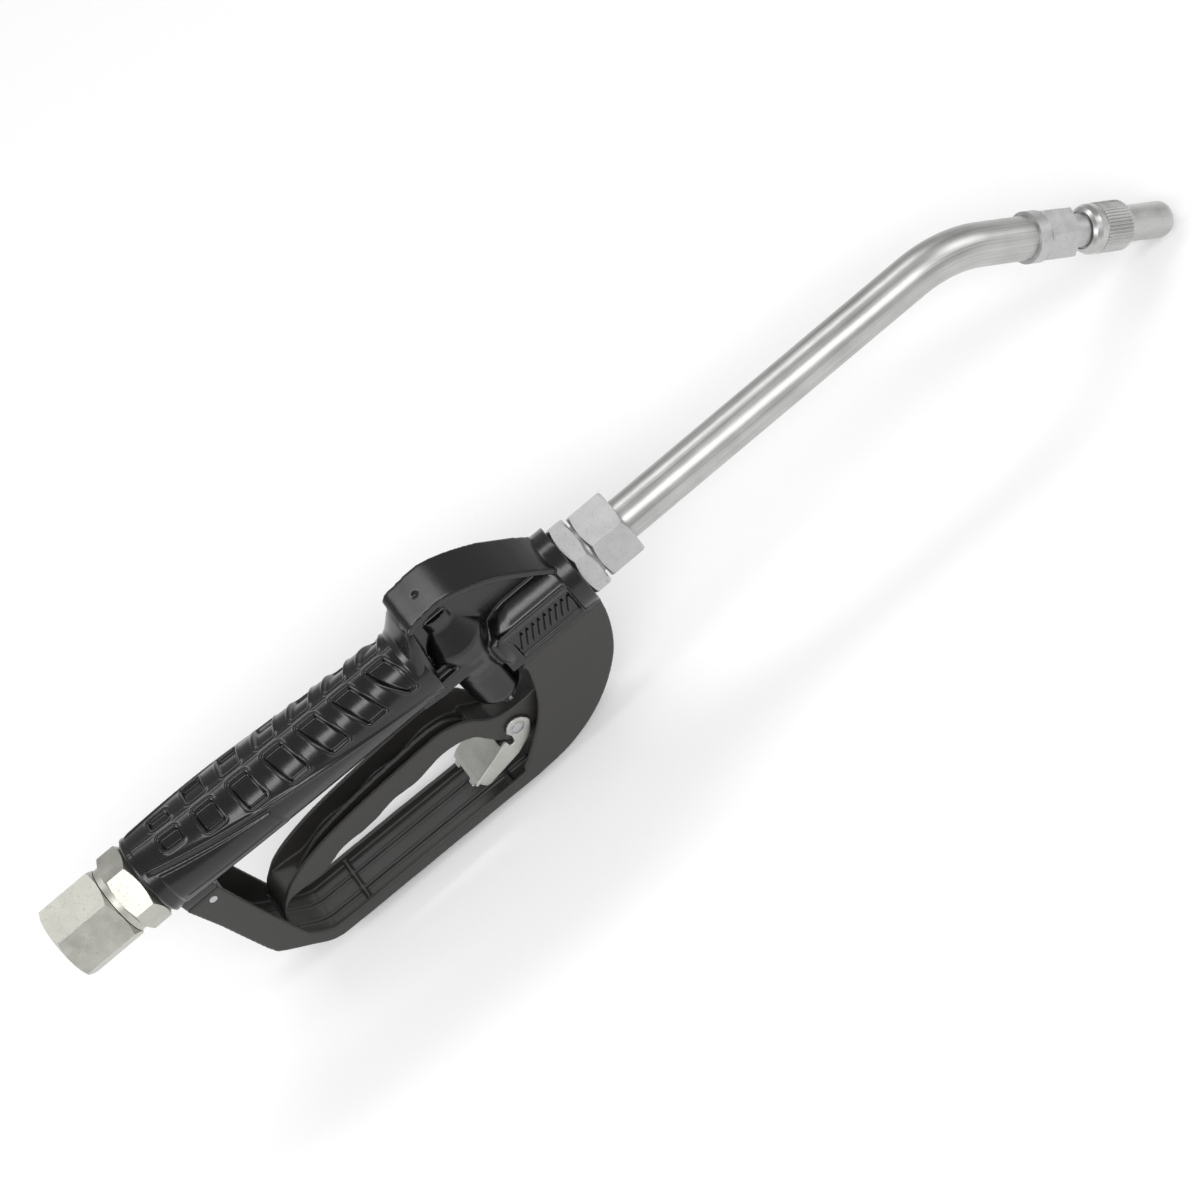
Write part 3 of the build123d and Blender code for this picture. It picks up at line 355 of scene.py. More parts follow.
# handle: oval grip with its pockets, ridge and side panel
grip = {
    "start": 36.4, "end": 157.0, "rows": 330, "around": 256,
    "stations": [41.0, 46.7, 63.9, 98.2, 132.5, 157.0],
    "halfWidth": [15.7, 16.3, 16.8, 16.1, 14.7, 14.1],
    "halfHeight": [15.7, 14.95, 14.4, 14.7, 15.15, 15.1],
    "middle": [0.0, -0.15, -0.5, -2.2, -3.5, -4.0],
    "pockets": 7, "firstPocket": 53.2, "pitch": 15.0, "pocketHalf": 4.2, "pocketDepth": 1.5,
    "rimHeight": 0.38, "pocketTop": 7.0, "ridgeStart": 34.0, "ridgeRise": 0.58,
    "panelRaise": 0.5, "panelStart": 41.6, "panelEnd": 85.5, "railStart": 44.0, "railAngle": 103.0,
    "meanRadius": 15.4, "corner": 1.6, "partingRise": 0.10, "lipEnd": 37.4, "neckGroove": 38.9,
}


def gripSize(x):
    sizes = []
    for key in ("halfWidth", "halfHeight", "middle"):
        fit = np.polyfit(grip["stations"], grip[key], 4)
        sizes.append(np.polyval(fit, np.maximum(x, grip["stations"][0])))
    return sizes


def gripRelief(x, angle):
    # height above the plain oval, in mm, at a place along and an angle from the top
    side = np.abs(np.degrees(angle))
    radius, corner = grip["meanRadius"], grip["corner"]
    arc = radius * np.radians(side)
    height = np.zeros_like(x)
    for number in range(grip["pockets"]):
        share = number / (grip["pockets"] - 1)
        bottom = 28.0 + 43.0 * (1 - (1 - share) ** 2)
        lean = 5.5 * softStep(share - 0.15, 0.7)
        down = (side - grip["pocketTop"]) / (bottom - grip["pocketTop"])
        middle = grip["firstPocket"] + grip["pitch"] * number + lean * np.clip(down, -0.1, 1.1)
        half = grip["pocketHalf"] * (1 - (0.55 if share == 1 else 0.0) * softStep(down - 0.35, 0.8))
        reach = radius * math.radians(bottom - grip["pocketTop"]) / 2
        centre = radius * math.radians((bottom + grip["pocketTop"]) / 2)
        dx = np.abs(x - middle) - half + corner
        dw = np.abs(arc - centre) - reach + corner
        edge = np.hypot(np.maximum(dx, 0), np.maximum(dw, 0)) + np.minimum(np.maximum(dx, dw), 0) - corner
        height -= grip["pocketDepth"] * softStep(-edge, 1.0)
        height += grip["rimHeight"] * np.exp(-((edge - 0.55) / 0.5) ** 2)
    # the long ridge that sweeps down the side, with the flank sunk below it
    ridge = grip["ridgeStart"] + grip["ridgeRise"] * (x - 38.5)
    below = radius * np.radians(side - ridge)
    fade = softStep(x - 38.0, 4.0) * softStep(158.0 - x, 14.0)
    height += fade * 0.55 * np.exp(-(below / 0.75) ** 2)
    height -= fade * 0.75 * softStep(below - 0.5, 1.6) * softStep(132.0 - side, 30.0)
    # raised flat panel low on the rear of the flank, and the rail under it
    panel = (softStep(x - grip["panelStart"], 0.7) * softStep(grip["panelEnd"] - x + 0.06 * (side - 90), 0.8)
             * softStep(below - 2.9, 0.7) * softStep(124.0 - side, 6.0))
    height += grip["panelRaise"] * panel
    rail = softStep(x - grip["railStart"], 0.8) * softStep(grip["panelEnd"] - x, 0.8)
    height += 0.4 * rail * np.exp(-((side - grip["railAngle"]) / 1.6) ** 2)
    # faint parting line on top
    height += grip["partingRise"] * np.exp(-(arc / 0.45) ** 2)
    # rolled lip at the neck
    height -= 1.1 * softStep(grip["lipEnd"] - x, 1.0)
    height -= 0.18 * np.exp(-((x - grip["neckGroove"]) / 0.5) ** 2)
    return height


def buildGrip():
    xs = np.linspace(grip["start"], grip["end"], grip["rows"])
    angles = np.linspace(-math.pi, math.pi, grip["around"], endpoint=False)
    x, angle = np.meshgrid(xs, angles, indexing="ij")
    wide, tall, middle = gripSize(x)
    relief = gripRelief(x, angle)
    outY, outZ = np.sin(angle) / wide, np.cos(angle) / tall
    length = np.hypot(outY, outZ)
    y = -(wide * np.sin(angle) + relief * outY / length)
    z = middle + tall * np.cos(angle) + relief * outZ / length
    rings = np.stack([x, y, z], axis=2)
    rings = [[tuple(p) for p in ring] for ring in rings]
    piece = newPiece("gripCasting", [loft(rings)])
    outward(piece)
    return piece


def buildFoot():
    # square foot that stands on the rear post of the guard
    piece = newPiece("castingFoot", [box((38.4, -12.0, -15.0), (52.3, 12.0, -7.0))])
    edge = piece.modifiers.new("edge", "BEVEL")
    edge.width = 0.8
    edge.segments = 3
    applyModifiers(piece)
    return piece


finish(buildGrip(), "handle", finishes["painted_casting"], ["valve_body"])
finish(buildFoot(), "handle", finishes["painted_casting"], ["valve_body"], angle=40)

# handle: valve head with its hump, boss, outlet barrel and square block
head = {
    "valveX": 170.0, "outletZ": -18.0, "seamZ": -29.5, "bandHalf": 9.45, "bandThick": 2.5,
    "flankHalf": 4.5, "barrelRadius": 14.8, "blockRear": 181.4, "blockFront": 211.5, "blockTop": -9.6,
    "blockHalf": 12.3, "ringRadius": 16.1, "ringStart": 210.9, "frontFace": 217.2,
    "voxel": 0.45, "softenPasses": 4, "panelDepth": 1.2, "dimpleRadius": 1.3, "dimpleDepth": 0.6,
}
humpTop = [(159.2, 20.4), (161.5, 22.6), (166.0, 23.3), (172.5, 24.1), (178.0, 23.6), (184.0, 21.0),
           (190.0, 17.6), (196.4, 12.9), (203.0, 6.6), (208.4, 0.8), (212.0, -3.6)]


def thickened(line, thickness):
    # closed outline of a strip hanging below a line
    under = []
    for i, p in enumerate(line):
        a, b = line[max(i - 1, 0)], line[min(i + 1, len(line) - 1)]
        d = math.hypot(b[0] - a[0], b[1] - a[1])
        under.append((p[0] + (b[1] - a[1]) / d * thickness, p[1] - (b[0] - a[0]) / d * thickness))
    return line + under[::-1]


def collarRing(x, half, top, bottom, square, lean, count=72):
    points = []
    for k in range(count):
        a = 2 * math.pi * k / count
        c, s = math.cos(a), math.sin(a)
        y = half * math.copysign(abs(s) ** (2 / square), s)
        z = (top + bottom) / 2 + (top - bottom) / 2 * math.copysign(abs(c) ** (2 / square), c)
        points.append((x + lean * (z - top), y, z))
    return points


def collarShells():
    # collar that flares from the grip up to the hump
    stations = [(148.5, 13.9, 10.8, -18.8, 2.0, 0.0), (151.5, 13.9, 11.0, -18.9, 2.0, 0.02),
                (154.0, 13.3, 13.2, -18.8, 2.1, 0.05), (156.3, 12.4, 16.6, -18.6, 2.3, 0.08),
                (158.4, 11.4, 19.8, -18.2, 2.6, 0.10), (160.3, 10.4, 21.9, -17.6, 3.0, 0.12),
                (161.5, 9.7, 22.7, -17.0, 3.3, 0.12)]
    return [loft([collarRing(*station) for station in stations])]


def humpShells():
    # curved band over a narrower flank
    top = curveThrough(humpTop, 5)
    flank = [(x, z - 0.8) for x, z in top] + [(212.0, -16.0), (158.0, -16.0)]
    return [prism(thickened(top, head["bandThick"]), -head["bandHalf"], head["bandHalf"]),
            prism(flank, -head["flankHalf"], head["flankHalf"])]


def bossShells():
    # upright valve boss with its coned shoulder
    boss = [(-43.4, 0), (-43.4, 6.8), (-42.9, 8.6), (-41.8, 9.6), (-40.0, 10.0), (-25.0, 10.05),
            (-20.0, 10.4), (-15.0, 11.4), (-10.0, 12.2), (-3.0, 12.7), (-1.6, 12.4), (8.4, 7.2),
            (9.2, 7.0), (14.0, 6.9), (14.0, 0)]
    return [lathe(boss, (head["valveX"], 0, 0), (0, 0, 1))]


def barrelShells():
    # outlet barrel with a rounded back that leans down and rearwards into the boss
    r = head["barrelRadius"]
    barrel = [(185.6, 0), (185.6, 9.5), (186.4, 12.2), (188.2, 14.1), (190.6, r), (216.0, r), (216.0, 0)]
    verts, faces = lathe(barrel, (0, 0, head["outletZ"]))
    leaning = [(x + 1.15 * max(-8.0, min(0.0, z + 4.0)) * max(0.0, min(1.0, (196 - x) / 8)), y, z)
               for x, y, z in verts]
    # its sides are cut flat at the panels below the upper rail
    face = head["blockHalf"] - head["panelDepth"]
    flat = [(x, max(-face, min(face, y)) if z < -10.4 and x > 182 else y, z) for x, y, z in leaning]
    return [(flat, faces)]


def blockShells():
    # square block under the barrel: core, upper rails, lower rail, end posts and the rear step
    half, rear, front = head["blockHalf"], head["blockRear"], head["blockFront"]
    top, seam = head["blockTop"], head["seamZ"]
    core = half - head["panelDepth"]
    return [box((rear, -core, seam), (front, core, top + 0.2)),
            box((rear, -half, -13.2), (front, half, top)),
            box((rear, -half - 0.5, -11.3), (front, half + 0.5, top + 0.4)),
            box((rear, -half, seam), (front, half, -26.9)),
            box((rear, -half, seam), (rear + 1.8, half, top)),
            box((front - 1.7, -half, seam), (front, half, top)),
            box((rear - 3.7, -half + 0.1, seam), (rear + 2.6, half - 0.1, -17.0))]


def bulkheadShells():
    # a disc squared off at the seam
    count = 90
    disc = []
    for k in range(count):
        a = 2 * math.pi * k / count
        z = head["outletZ"] + head["ringRadius"] * math.cos(a)
        disc.append((head["ringRadius"] * math.sin(a), max(z, head["seamZ"])))
    half = head["blockHalf"] + 0.7
    return [loft([[(x, y, z) for y, z in disc] for x in (head["ringStart"], head["frontFace"])]),
            box((head["ringStart"], -half, head["seamZ"]), (head["frontFace"], half, -20.0))]


def webShells():
    # pocket floor, and the flat web between the grip and the boss
    plan = [(146.0, 11.4), (154.0, 12.2), (162.0, 12.1), (172.0, 11.8)]
    outline = plan + [(x, -y) for x, y in plan[::-1]]
    return [box((150.0, -9.6, -14.0), (172.0, 9.6, -4.5)),
            loft([[(x, y, z) for x, y in outline] for z in (-14.6, -8.0)])]


def buildHead():
    shells = collarShells() + humpShells() + bossShells() + barrelShells()
    shells += blockShells() + bulkheadShells() + webShells()
    piece = newPiece("valveHeadCasting", shells)
    outward(piece)
    melt(piece, head["voxel"], head["softenPasses"], triangleLimit)
    # centre dimple on top of the hump, over the valve
    for v in piece.data.vertices:
        reach = math.hypot(v.co.x - head["valveX"], v.co.y) / head["dimpleRadius"]
        if v.co.z > 20 and reach < 1:
            v.co.z -= head["dimpleDepth"] * (1 - reach ** 2)
    return piece


finish(buildHead(), "handle", finishes["painted_casting"], ["valve_body"])

# node trees for what repeats


def treeInput(tree, name, kind, value):
    socket = tree.interface.new_socket(name, in_out="INPUT", socket_type=kind)
    if value is not None:
        socket.default_value = value
    return socket


def ringOfRidges(material):
    # straight knurl: four-sided ridges stood round the X axis, half sunk into the collar
    tree = bpy.data.node_groups.new("ringOfRidges", "GeometryNodeTree")
    tree.interface.new_socket("Geometry", in_out="OUTPUT", socket_type="NodeSocketGeometry")
    for name, kind, value in (("Ridges", "NodeSocketInt", 46), ("Radius", "NodeSocketFloat", 9.0),
                              ("Start", "NodeSocketFloat", 0.0), ("Length", "NodeSocketFloat", 10.0),
                              ("Ridge Width", "NodeSocketFloat", 0.6)):
        treeInput(tree, name, kind, value)
    given = addNode(tree, "NodeGroupInput").outputs
    circle = addNode(tree, "GeometryNodeMeshCircle", {"Vertices": given["Ridges"],
                                                      "Radius": given["Radius"]})
    ridge = addNode(tree, "GeometryNodeMeshCylinder", {"Radius": given["Ridge Width"],
                                                       "Depth": given["Length"]}, Vertices=4)
    spots = addNode(tree, "GeometryNodeInstanceOnPoints", {"Points": circle.outputs[0],
                                                           "Instance": ridge.outputs[0]})
    point = addNode(tree, "GeometryNodeInputPosition").outputs[0]
    turn = addNode(tree, "FunctionNodeAlignEulerToVector", {"Vector": point}, axis="X")
    tree.links.new(turn.outputs[0], spots.inputs["Rotation"])
    solid = addNode(tree, "GeometryNodeRealizeInstances", {"Geometry": spots.outputs[0]})
    half = addNode(tree, "ShaderNodeMath", {0: given["Length"]}, operation="MULTIPLY")
    half.inputs[1].default_value = 0.5
    middle = addNode(tree, "ShaderNodeMath", {0: half.outputs[0], 1: given["Start"]}, operation="ADD")
    shift = addNode(tree, "ShaderNodeCombineXYZ", {"X": middle.outputs[0]})
    lay = addNode(tree, "GeometryNodeTransform", {"Geometry": solid.outputs[0],
                                                  "Translation": shift.outputs[0]})
    lay.inputs["Rotation"].default_value = (0, math.pi / 2, 0)
    coat = addNode(tree, "GeometryNodeSetMaterial", {"Geometry": lay.outputs[0]})
    coat.inputs["Material"].default_value = material
    addNode(tree, "NodeGroupOutput", {0: coat.outputs[0]})
    return tree


def rowOfBars(material):
    # plain raised bars, one step apart, leaning by one angle in their own plane
    tree = bpy.data.node_groups.new("rowOfBars", "GeometryNodeTree")
    tree.interface.new_socket("Geometry", in_out="OUTPUT", socket_type="NodeSocketGeometry")
    for name, kind, value in (("Bars", "NodeSocketInt", 5), ("First", "NodeSocketVector", None),
                              ("Step", "NodeSocketVector", None), ("Size", "NodeSocketVector", None),
                              ("Lean", "NodeSocketVector", None)):
        treeInput(tree, name, kind, value)
    given = addNode(tree, "NodeGroupInput").outputs
    line = addNode(tree, "GeometryNodeMeshLine", {"Count": given["Bars"], "Start Location": given["First"],
                                                  "Offset": given["Step"]})
    bar = addNode(tree, "GeometryNodeMeshCube", {"Size": given["Size"]}, Vertices_X=2)
    spots = addNode(tree, "GeometryNodeInstanceOnPoints", {"Points": line.outputs[0],
                                                           "Instance": bar.outputs[0],
                                                           "Rotation": given["Lean"]})
    solid = addNode(tree, "GeometryNodeRealizeInstances", {"Geometry": spots.outputs[0]})
    coat = addNode(tree, "GeometryNodeSetMaterial", {"Geometry": solid.outputs[0]})
    coat.inputs["Material"].default_value = material
    addNode(tree, "NodeGroupOutput", {0: coat.outputs[0]})
    return tree


def grow(name, tree, values):
    # an object made wholly by its tree; inputs are set by socket identifier
    piece = bpy.data.objects.new(name, bpy.data.meshes.new(name))
    bpy.context.scene.collection.objects.link(piece)
    modifier = piece.modifiers.new("nodes", "NODES")
    modifier.node_group = tree
    for item in tree.interface.items_tree:
        if item.in_out == "INPUT" and item.name in values:
            modifier[item.identifier] = values[item.name]
    applyModifiers(piece)
    return piece


# handle: slanted ribs on the block panels
panelRibs = {"bars": 9, "first": 186.9, "step": 2.6, "height": 8.0, "width": 0.8, "middle": -20.2,
             "stand": 0.75, "lean": -22.0}
panelFace = head["blockHalf"] - head["panelDepth"]
barTree = rowOfBars(finishes["painted_casting"])
for side, sideName in ((-1, "Near"), (1, "Far")):
    ribs = grow("panelRibs" + sideName, barTree, {
        "Bars": panelRibs["bars"], "First": (panelRibs["first"], side * panelFace, panelRibs["middle"]),
        "Step": (panelRibs["step"], 0.0, 0.0),
        "Size": (panelRibs["width"], 2 * panelRibs["stand"], panelRibs["height"]),
        "Lean": (0.0, math.radians(-panelRibs["lean"]), 0.0)})
    finish(ribs, "handle", finishes["painted_casting"], ["valve_body"], smooth=False)

# trigger guard: a channel bent round the lever
guard = {"half": 12.3, "wall": 1.8, "voxel": 0.46, "softenPasses": 5}
guardOuter = [(41.8, -33.0), (45.3, -57.0), (46.6, -64.0), (48.3, -68.0), (57.9, -77.7), (62.7, -82.5),
              (66.5, -84.3), (72.4, -85.0), (111.0, -85.75), (150.0, -86.5), (160.0, -86.6), (172.0, -85.6),
              (180.0, -83.3), (187.0, -80.0), (194.0, -75.3), (200.0, -69.7), (205.0, -63.8),
              (209.4, -57.2), (212.5, -50.2), (214.8, -43.0), (216.3, -36.0)]
guardInner = [(181.4, -35.0), (180.8, -38.0), (179.3, -44.5), (176.0, -54.0), (170.5, -63.5),
              (162.5, -73.0), (157.0, -78.0), (152.0, -80.6), (108.4, -79.4), (72.4, -78.7),
              (66.0, -77.0), (62.0, -73.0), (59.2, -66.0), (53.9, -29.0)]
guardHollow = [(44.7, -33.0), (48.1, -57.0), (49.4, -63.6), (50.9, -66.6), (59.5, -75.6),
               (64.2, -80.2), (67.4, -81.8), (72.4, -82.5), (111.0, -83.25), (150.0, -84.0),
               (160.0, -84.1), (171.5, -83.1), (179.0, -80.9), (185.6, -77.8), (192.4, -73.2),
               (198.2, -67.8), (203.0, -62.2), (207.2, -55.8), (210.2, -49.1), (212.4, -42.3),
               (213.6, -36.0)]


def buildGuard():
    outer = [(38.4, -15.0)] + curveThrough(guardOuter) + [(217.1, -29.5)]
    inner = [(182.0, -29.5)] + curveThrough(guardInner) + [(52.3, -15.0)]
    hollow = [(43.2, -22.0)] + curveThrough(guardHollow) + [(213.8, -32.7)]
    half, wall = guard["half"], guard["wall"]
    shells = [prism(outer + inner, low, low + wall) for low in (-half, half - wall)]
    # the band that closes the channel outside, and the roof under the casting
    shells.append(prism(outer + hollow[::-1], -half + 0.5, half - 0.5))
    shells.append(prism([(182.0, -29.5), (217.0, -29.5), (214.5, -32.7), (180.4, -32.7)],
                        -half + 0.5, half - 0.5))
    shells.append(prism([(38.4, -15.0), (52.3, -15.0), (52.6, -18.6), (39.0, -18.6)],
                        -half + 0.5, half - 0.5))
    # stiffening ribs: two along the floor that climb the post, one across
    inside = curveThrough(guardHollow[1:11])
    lift = [(x + 0.2, z + 1.6) for x, z in inside]
    for ribY in (-4.0, 4.0):
        shells.append(prism(inside + lift[::-1], ribY - 0.55, ribY + 0.55))
    shells.append(box((82.9, -half + 1, -84.5), (84.3, half - 1, -80.6)))
    shells.append(box((149.2, -half + 1, -85.5), (150.6, half - 1, -81.9)))
    # round bosses inside both walls, either side of the lever's pin
    boss = [(193 + 5.0 * math.cos(a), -50 + 5.0 * math.sin(a)) for a in np.linspace(0, 2 * math.pi, 40)[:-1]]
    for side in (-1, 1):
        low, high = sorted((side * 7.9, side * (half - 0.6)))
        shells.append(prism(boss, low, high))
    piece = newPiece("triggerGuard", shells)
    outward(piece)
    melt(piece, guard["voxel"], guard["softenPasses"], triangleLimit)
    return piece


finish(buildGuard(), "handle", finishes["black_nylon"], ["trigger_guard"])

# lever: two walls, a wavy finger floor and a middle rib
lever = {"half": 7.5, "wall": 1.6, "floor": 2.2, "ribHalf": 0.8, "voxel": 0.4, "softenPasses": 4}
leverTop = [(57.2, -60.5), (59.7, -56.0), (63.5, -51.5), (68.0, -47.4), (75.2, -43.9), (86.1, -40.8),
            (97.0, -39.0), (111.1, -37.6), (125.0, -36.7), (139.0, -36.0), (144.5, -36.4),
            (150.0, -38.4), (154.5, -42.0), (158.2, -46.8), (162.5, -50.0), (168.0, -51.4),
            (176.0, -51.4), (184.0, -49.0), (188.5, -45.2), (193.0, -44.0), (197.4, -46.0),
            (199.0, -50.0), (197.0, -54.6)]
leverUnder = [(190.0, -57.5), (182.0, -62.5), (172.0, -65.6), (161.0, -65.6), (157.4, -62.5),
              (154.1, -56.0), (151.0, -50.2), (146.0, -47.2), (138.6, -46.0), (131.4, -47.4),
              (126.0, -48.6), (121.0, -48.3), (115.6, -47.8), (110.2, -48.9), (106.6, -49.9),
              (99.4, -50.5), (94.2, -50.1), (88.8, -50.7), (85.1, -52.3), (77.7, -54.7),
              (70.7, -53.9), (63.6, -54.2), (59.5, -58.5), (57.4, -64.2), (56.2, -62.6)]
# the far wall's edge behind the valve boss
leverRise = [(150.0, -36.6), (154.3, -37.4), (157.2, -39.2), (159.2, -43.0), (161.0, -47.8),
             (166.0, -50.6)]


def buildLever():
    top, under = curveThrough(leverTop), curveThrough(leverUnder)
    half, wall = lever["half"], lever["wall"]
    # the far wall stands higher behind the valve boss
    high = curveThrough([p for p in leverTop if p[0] < 145] + leverRise + [p for p in leverTop if p[0] > 175])
    shells = [prism(top + under, -half, -half + wall), prism(high + under, half - wall, half)]
    grips = curveThrough(leverUnder[6:])
    shells.append(prism(grips + [(x, z + lever["floor"]) for x, z in grips[::-1]], -half + 0.4, half - 0.4))
    front = ([(149.6, -49.4), (153.2, -46.6), (157.0, -50.4), (160.0, -52.6), (178.0, -52.2)]
             + [p for p in top if p[0] > 183.5] + [p for p in under if 149.4 < p[0] < 190.5])
    shells.append(prism(front, -half + 0.4, half - 0.4))
    crest = curveThrough([(71.0, -52.5), (78.0, -48.5), (86.0, -44.6), (97.0, -42.3), (112.0, -40.6),
                          (127.0, -39.6), (139.0, -39.0), (147.0, -40.8), (151.5, -45.5)])
    foot = [(152.5, -52.0), (146.0, -46.4), (138.6, -45.2), (126.0, -47.8), (110.2, -48.1),
            (94.2, -49.3), (77.7, -53.9)]
    shells.append(prism(crest + foot, -lever["ribHalf"], lever["ribHalf"]))
    piece = newPiece("leverTrigger", shells)
    outward(piece)
    melt(piece, lever["voxel"], lever["softenPasses"], triangleLimit)
    return piece


finish(buildLever(), "lever", finishes["black_nylon"], ["lever"])

# sheet-metal latch and its rivet
latch = {"rivetX": 164.9, "rivetZ": -60.0, "inside": 7.8, "sheet": 1.2, "voxel": 0.32,
         "softenPasses": 3, "triangles": 150000}
latchEar = [(-6.6, -2.4), (-6.3, -6.2), (-4.2, -6.0), (-3.6, -2.2), (-4.6, 0.8), (-3.4, 3.0), (-1.6, 4.5),
            (0.0, 4.9), (1.8, 4.5), (3.6, 3.2), (4.9, 1.0), (5.4, -1.2), (3.4, -5.4), (1.2, -8.5),
            (-5.8, -12.6), (-21.0, -16.2), (-22.6, -15.6), (-23.6, -13.6), (-23.6, -10.6)]
latchWeb = [(-9.4, -3.8), (-23.5, -10.5), (-25.6, -12.2), (-25.0, -13.1), (-22.8, -11.5), (-8.9, -4.9)]
latchToe = [(-25.2, -11.9), (-26.8, -13.2), (-26.1, -14.1), (-24.6, -12.9)]


def buildLatch():
    def placed(points):
        return [(latch["rivetX"] + x, latch["rivetZ"] + z) for x, z in points]
    near, far = latch["inside"], latch["inside"] + latch["sheet"]
    shells = [prism(placed(latchEar), -far, -near), prism(placed(latchEar), near, far)]
    # sloping web between the ears, with two toes on its free end
    shells.append(prism(placed(latchWeb), -far + 0.2, far - 0.2))
    for side in (-1, 1):
        low, high = sorted((side * 3.8, side * 6.9))
        shells.append(prism(placed(latchToe), low, high))
    piece = newPiece("latchPlate", shells)
    outward(piece)
    melt(piece, latch["voxel"], latch["softenPasses"], latch["triangles"])
    return piece


finish(buildLatch(), "latch", finishes["latch_zinc"], ["latch"])


def buildRivet():
    # flush rivet: a plain pin whose flat ends stand inside a shallow ring groove
    end, out = latch["inside"] + latch["sheet"], []
    for side in (-1, 1):
        rows = [(end - 0.5, 2.4), (end - 0.5, 2.95), (end + 0.12, 2.95), (end + 0.25, 2.8),
                (end + 0.25, 2.55), (end - 0.1, 2.45), (end - 0.1, 2.3), (end + 0.2, 2.2), (end + 0.32, 1.9),
                (end + 0.32, 0)]
        rows = [(side * y, r) for y, r in rows]
        out = rows[::-1] + out if side < 0 else out + rows
    piece = newPiece("latchRivetPin", [lathe(out, (latch["rivetX"], 0, latch["rivetZ"]), (0, 1, 0), 72)])
    outward(piece)
    return piece


finish(buildRivet(), "lever", finishes["bright_steel"], ["latch_rivet"], angle=35)

# bent spout tube
spout = {"radius": 7.95, "wall": 1.35, "height": -18.0, "bendStart": 371.6, "bendRadius": 40.0,
         "bendAngle": 42.0, "after": 21.8, "around": 96}


def buildTube():
    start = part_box("spout_tube")[0].x * 1000
    total = math.radians(spout["bendAngle"])
    path = [(x, spout["height"], 0.0) for x in np.linspace(start, spout["bendStart"], 60)]
    for a in np.linspace(0, total, 41)[1:]:
        path.append((spout["bendStart"] + spout["bendRadius"] * math.sin(a),
                     spout["height"] - spout["bendRadius"] * (1 - math.cos(a)), a))
    endX, endZ = path[-1][:2]
    for s in np.linspace(0, spout["after"], 8)[1:]:
        path.append((endX + s * math.cos(total), endZ - s * math.sin(total), total))
    # outer rings, then the rings of the bore
    n, verts, faces = spout["around"], [], []
    for radius in (spout["radius"], spout["radius"] - spout["wall"]):
        for x, z, a in path:
            for k in range(n):
                turn = 2 * math.pi * k / n
                out = radius * math.cos(turn)
                verts.append((x + out * math.sin(a), radius * math.sin(turn), z + out * math.cos(a)))
    rows = len(path)
    step = rows * n
    for i in range(rows - 1):
        for k in range(n):
            m = (k + 1) % n
            a, b, c, d = i * n + k, i * n + m, (i + 1) * n + m, (i + 1) * n + k
            faces.append((a, b, c, d))
            faces.append((d + step, c + step, b + step, a + step))
    for k in range(n):
        m = (k + 1) % n
        faces.append((k, k + step, m + step, m))
        end = (rows - 1) * n
        faces.append((end + m, end + m + step, end + k + step, end + k))
    piece = newPiece("spoutTube", [(verts, faces)])
    # a map in millimetres: distance along the tube, and distance round it
    along = [0.0]
    for start, stop in zip(path, path[1:]):
        along.append(along[-1] + math.hypot(stop[0] - start[0], stop[1] - start[1]))
    layer = piece.data.uv_layers.new(name="along")
    girth = 2 * math.pi * spout["radius"]
    for face in piece.data.polygons:
        ks = [v % n for v in face.vertices]
        wrap = max(ks) - min(ks) > 2
        for loop, v in zip(face.loop_indices, face.vertices):
            k = v % n
            k = k + n if wrap and k < n / 2 else k
            layer.data[loop].uv = (along[(v % step) // n], girth * k / n)
    return piece


finish(buildTube(), "handle", finishes["plated_tube"], ["spout_tube"], angle=50)

# twist tip: knurled collar and round-ended nose
tip = {"x": 414.57, "z": -42.86, "angle": 42.0, "collarStart": 26.6, "collarEnd": 45.2,
       "collarRadius": 9.1, "noseStart": 42.0, "noseEnd": 68.0, "noseRadius": 6.7,
       "knurlStart": 32.6, "ridges": 46, "ridgeHalf": 0.52}
tipAxis = Vector((math.cos(math.radians(tip["angle"])), 0, -math.sin(math.radians(tip["angle"]))))
tipPlace = Matrix.Translation((tip["x"], 0, tip["z"])) @ Matrix.Rotation(math.radians(tip["angle"]), 4, "Y")


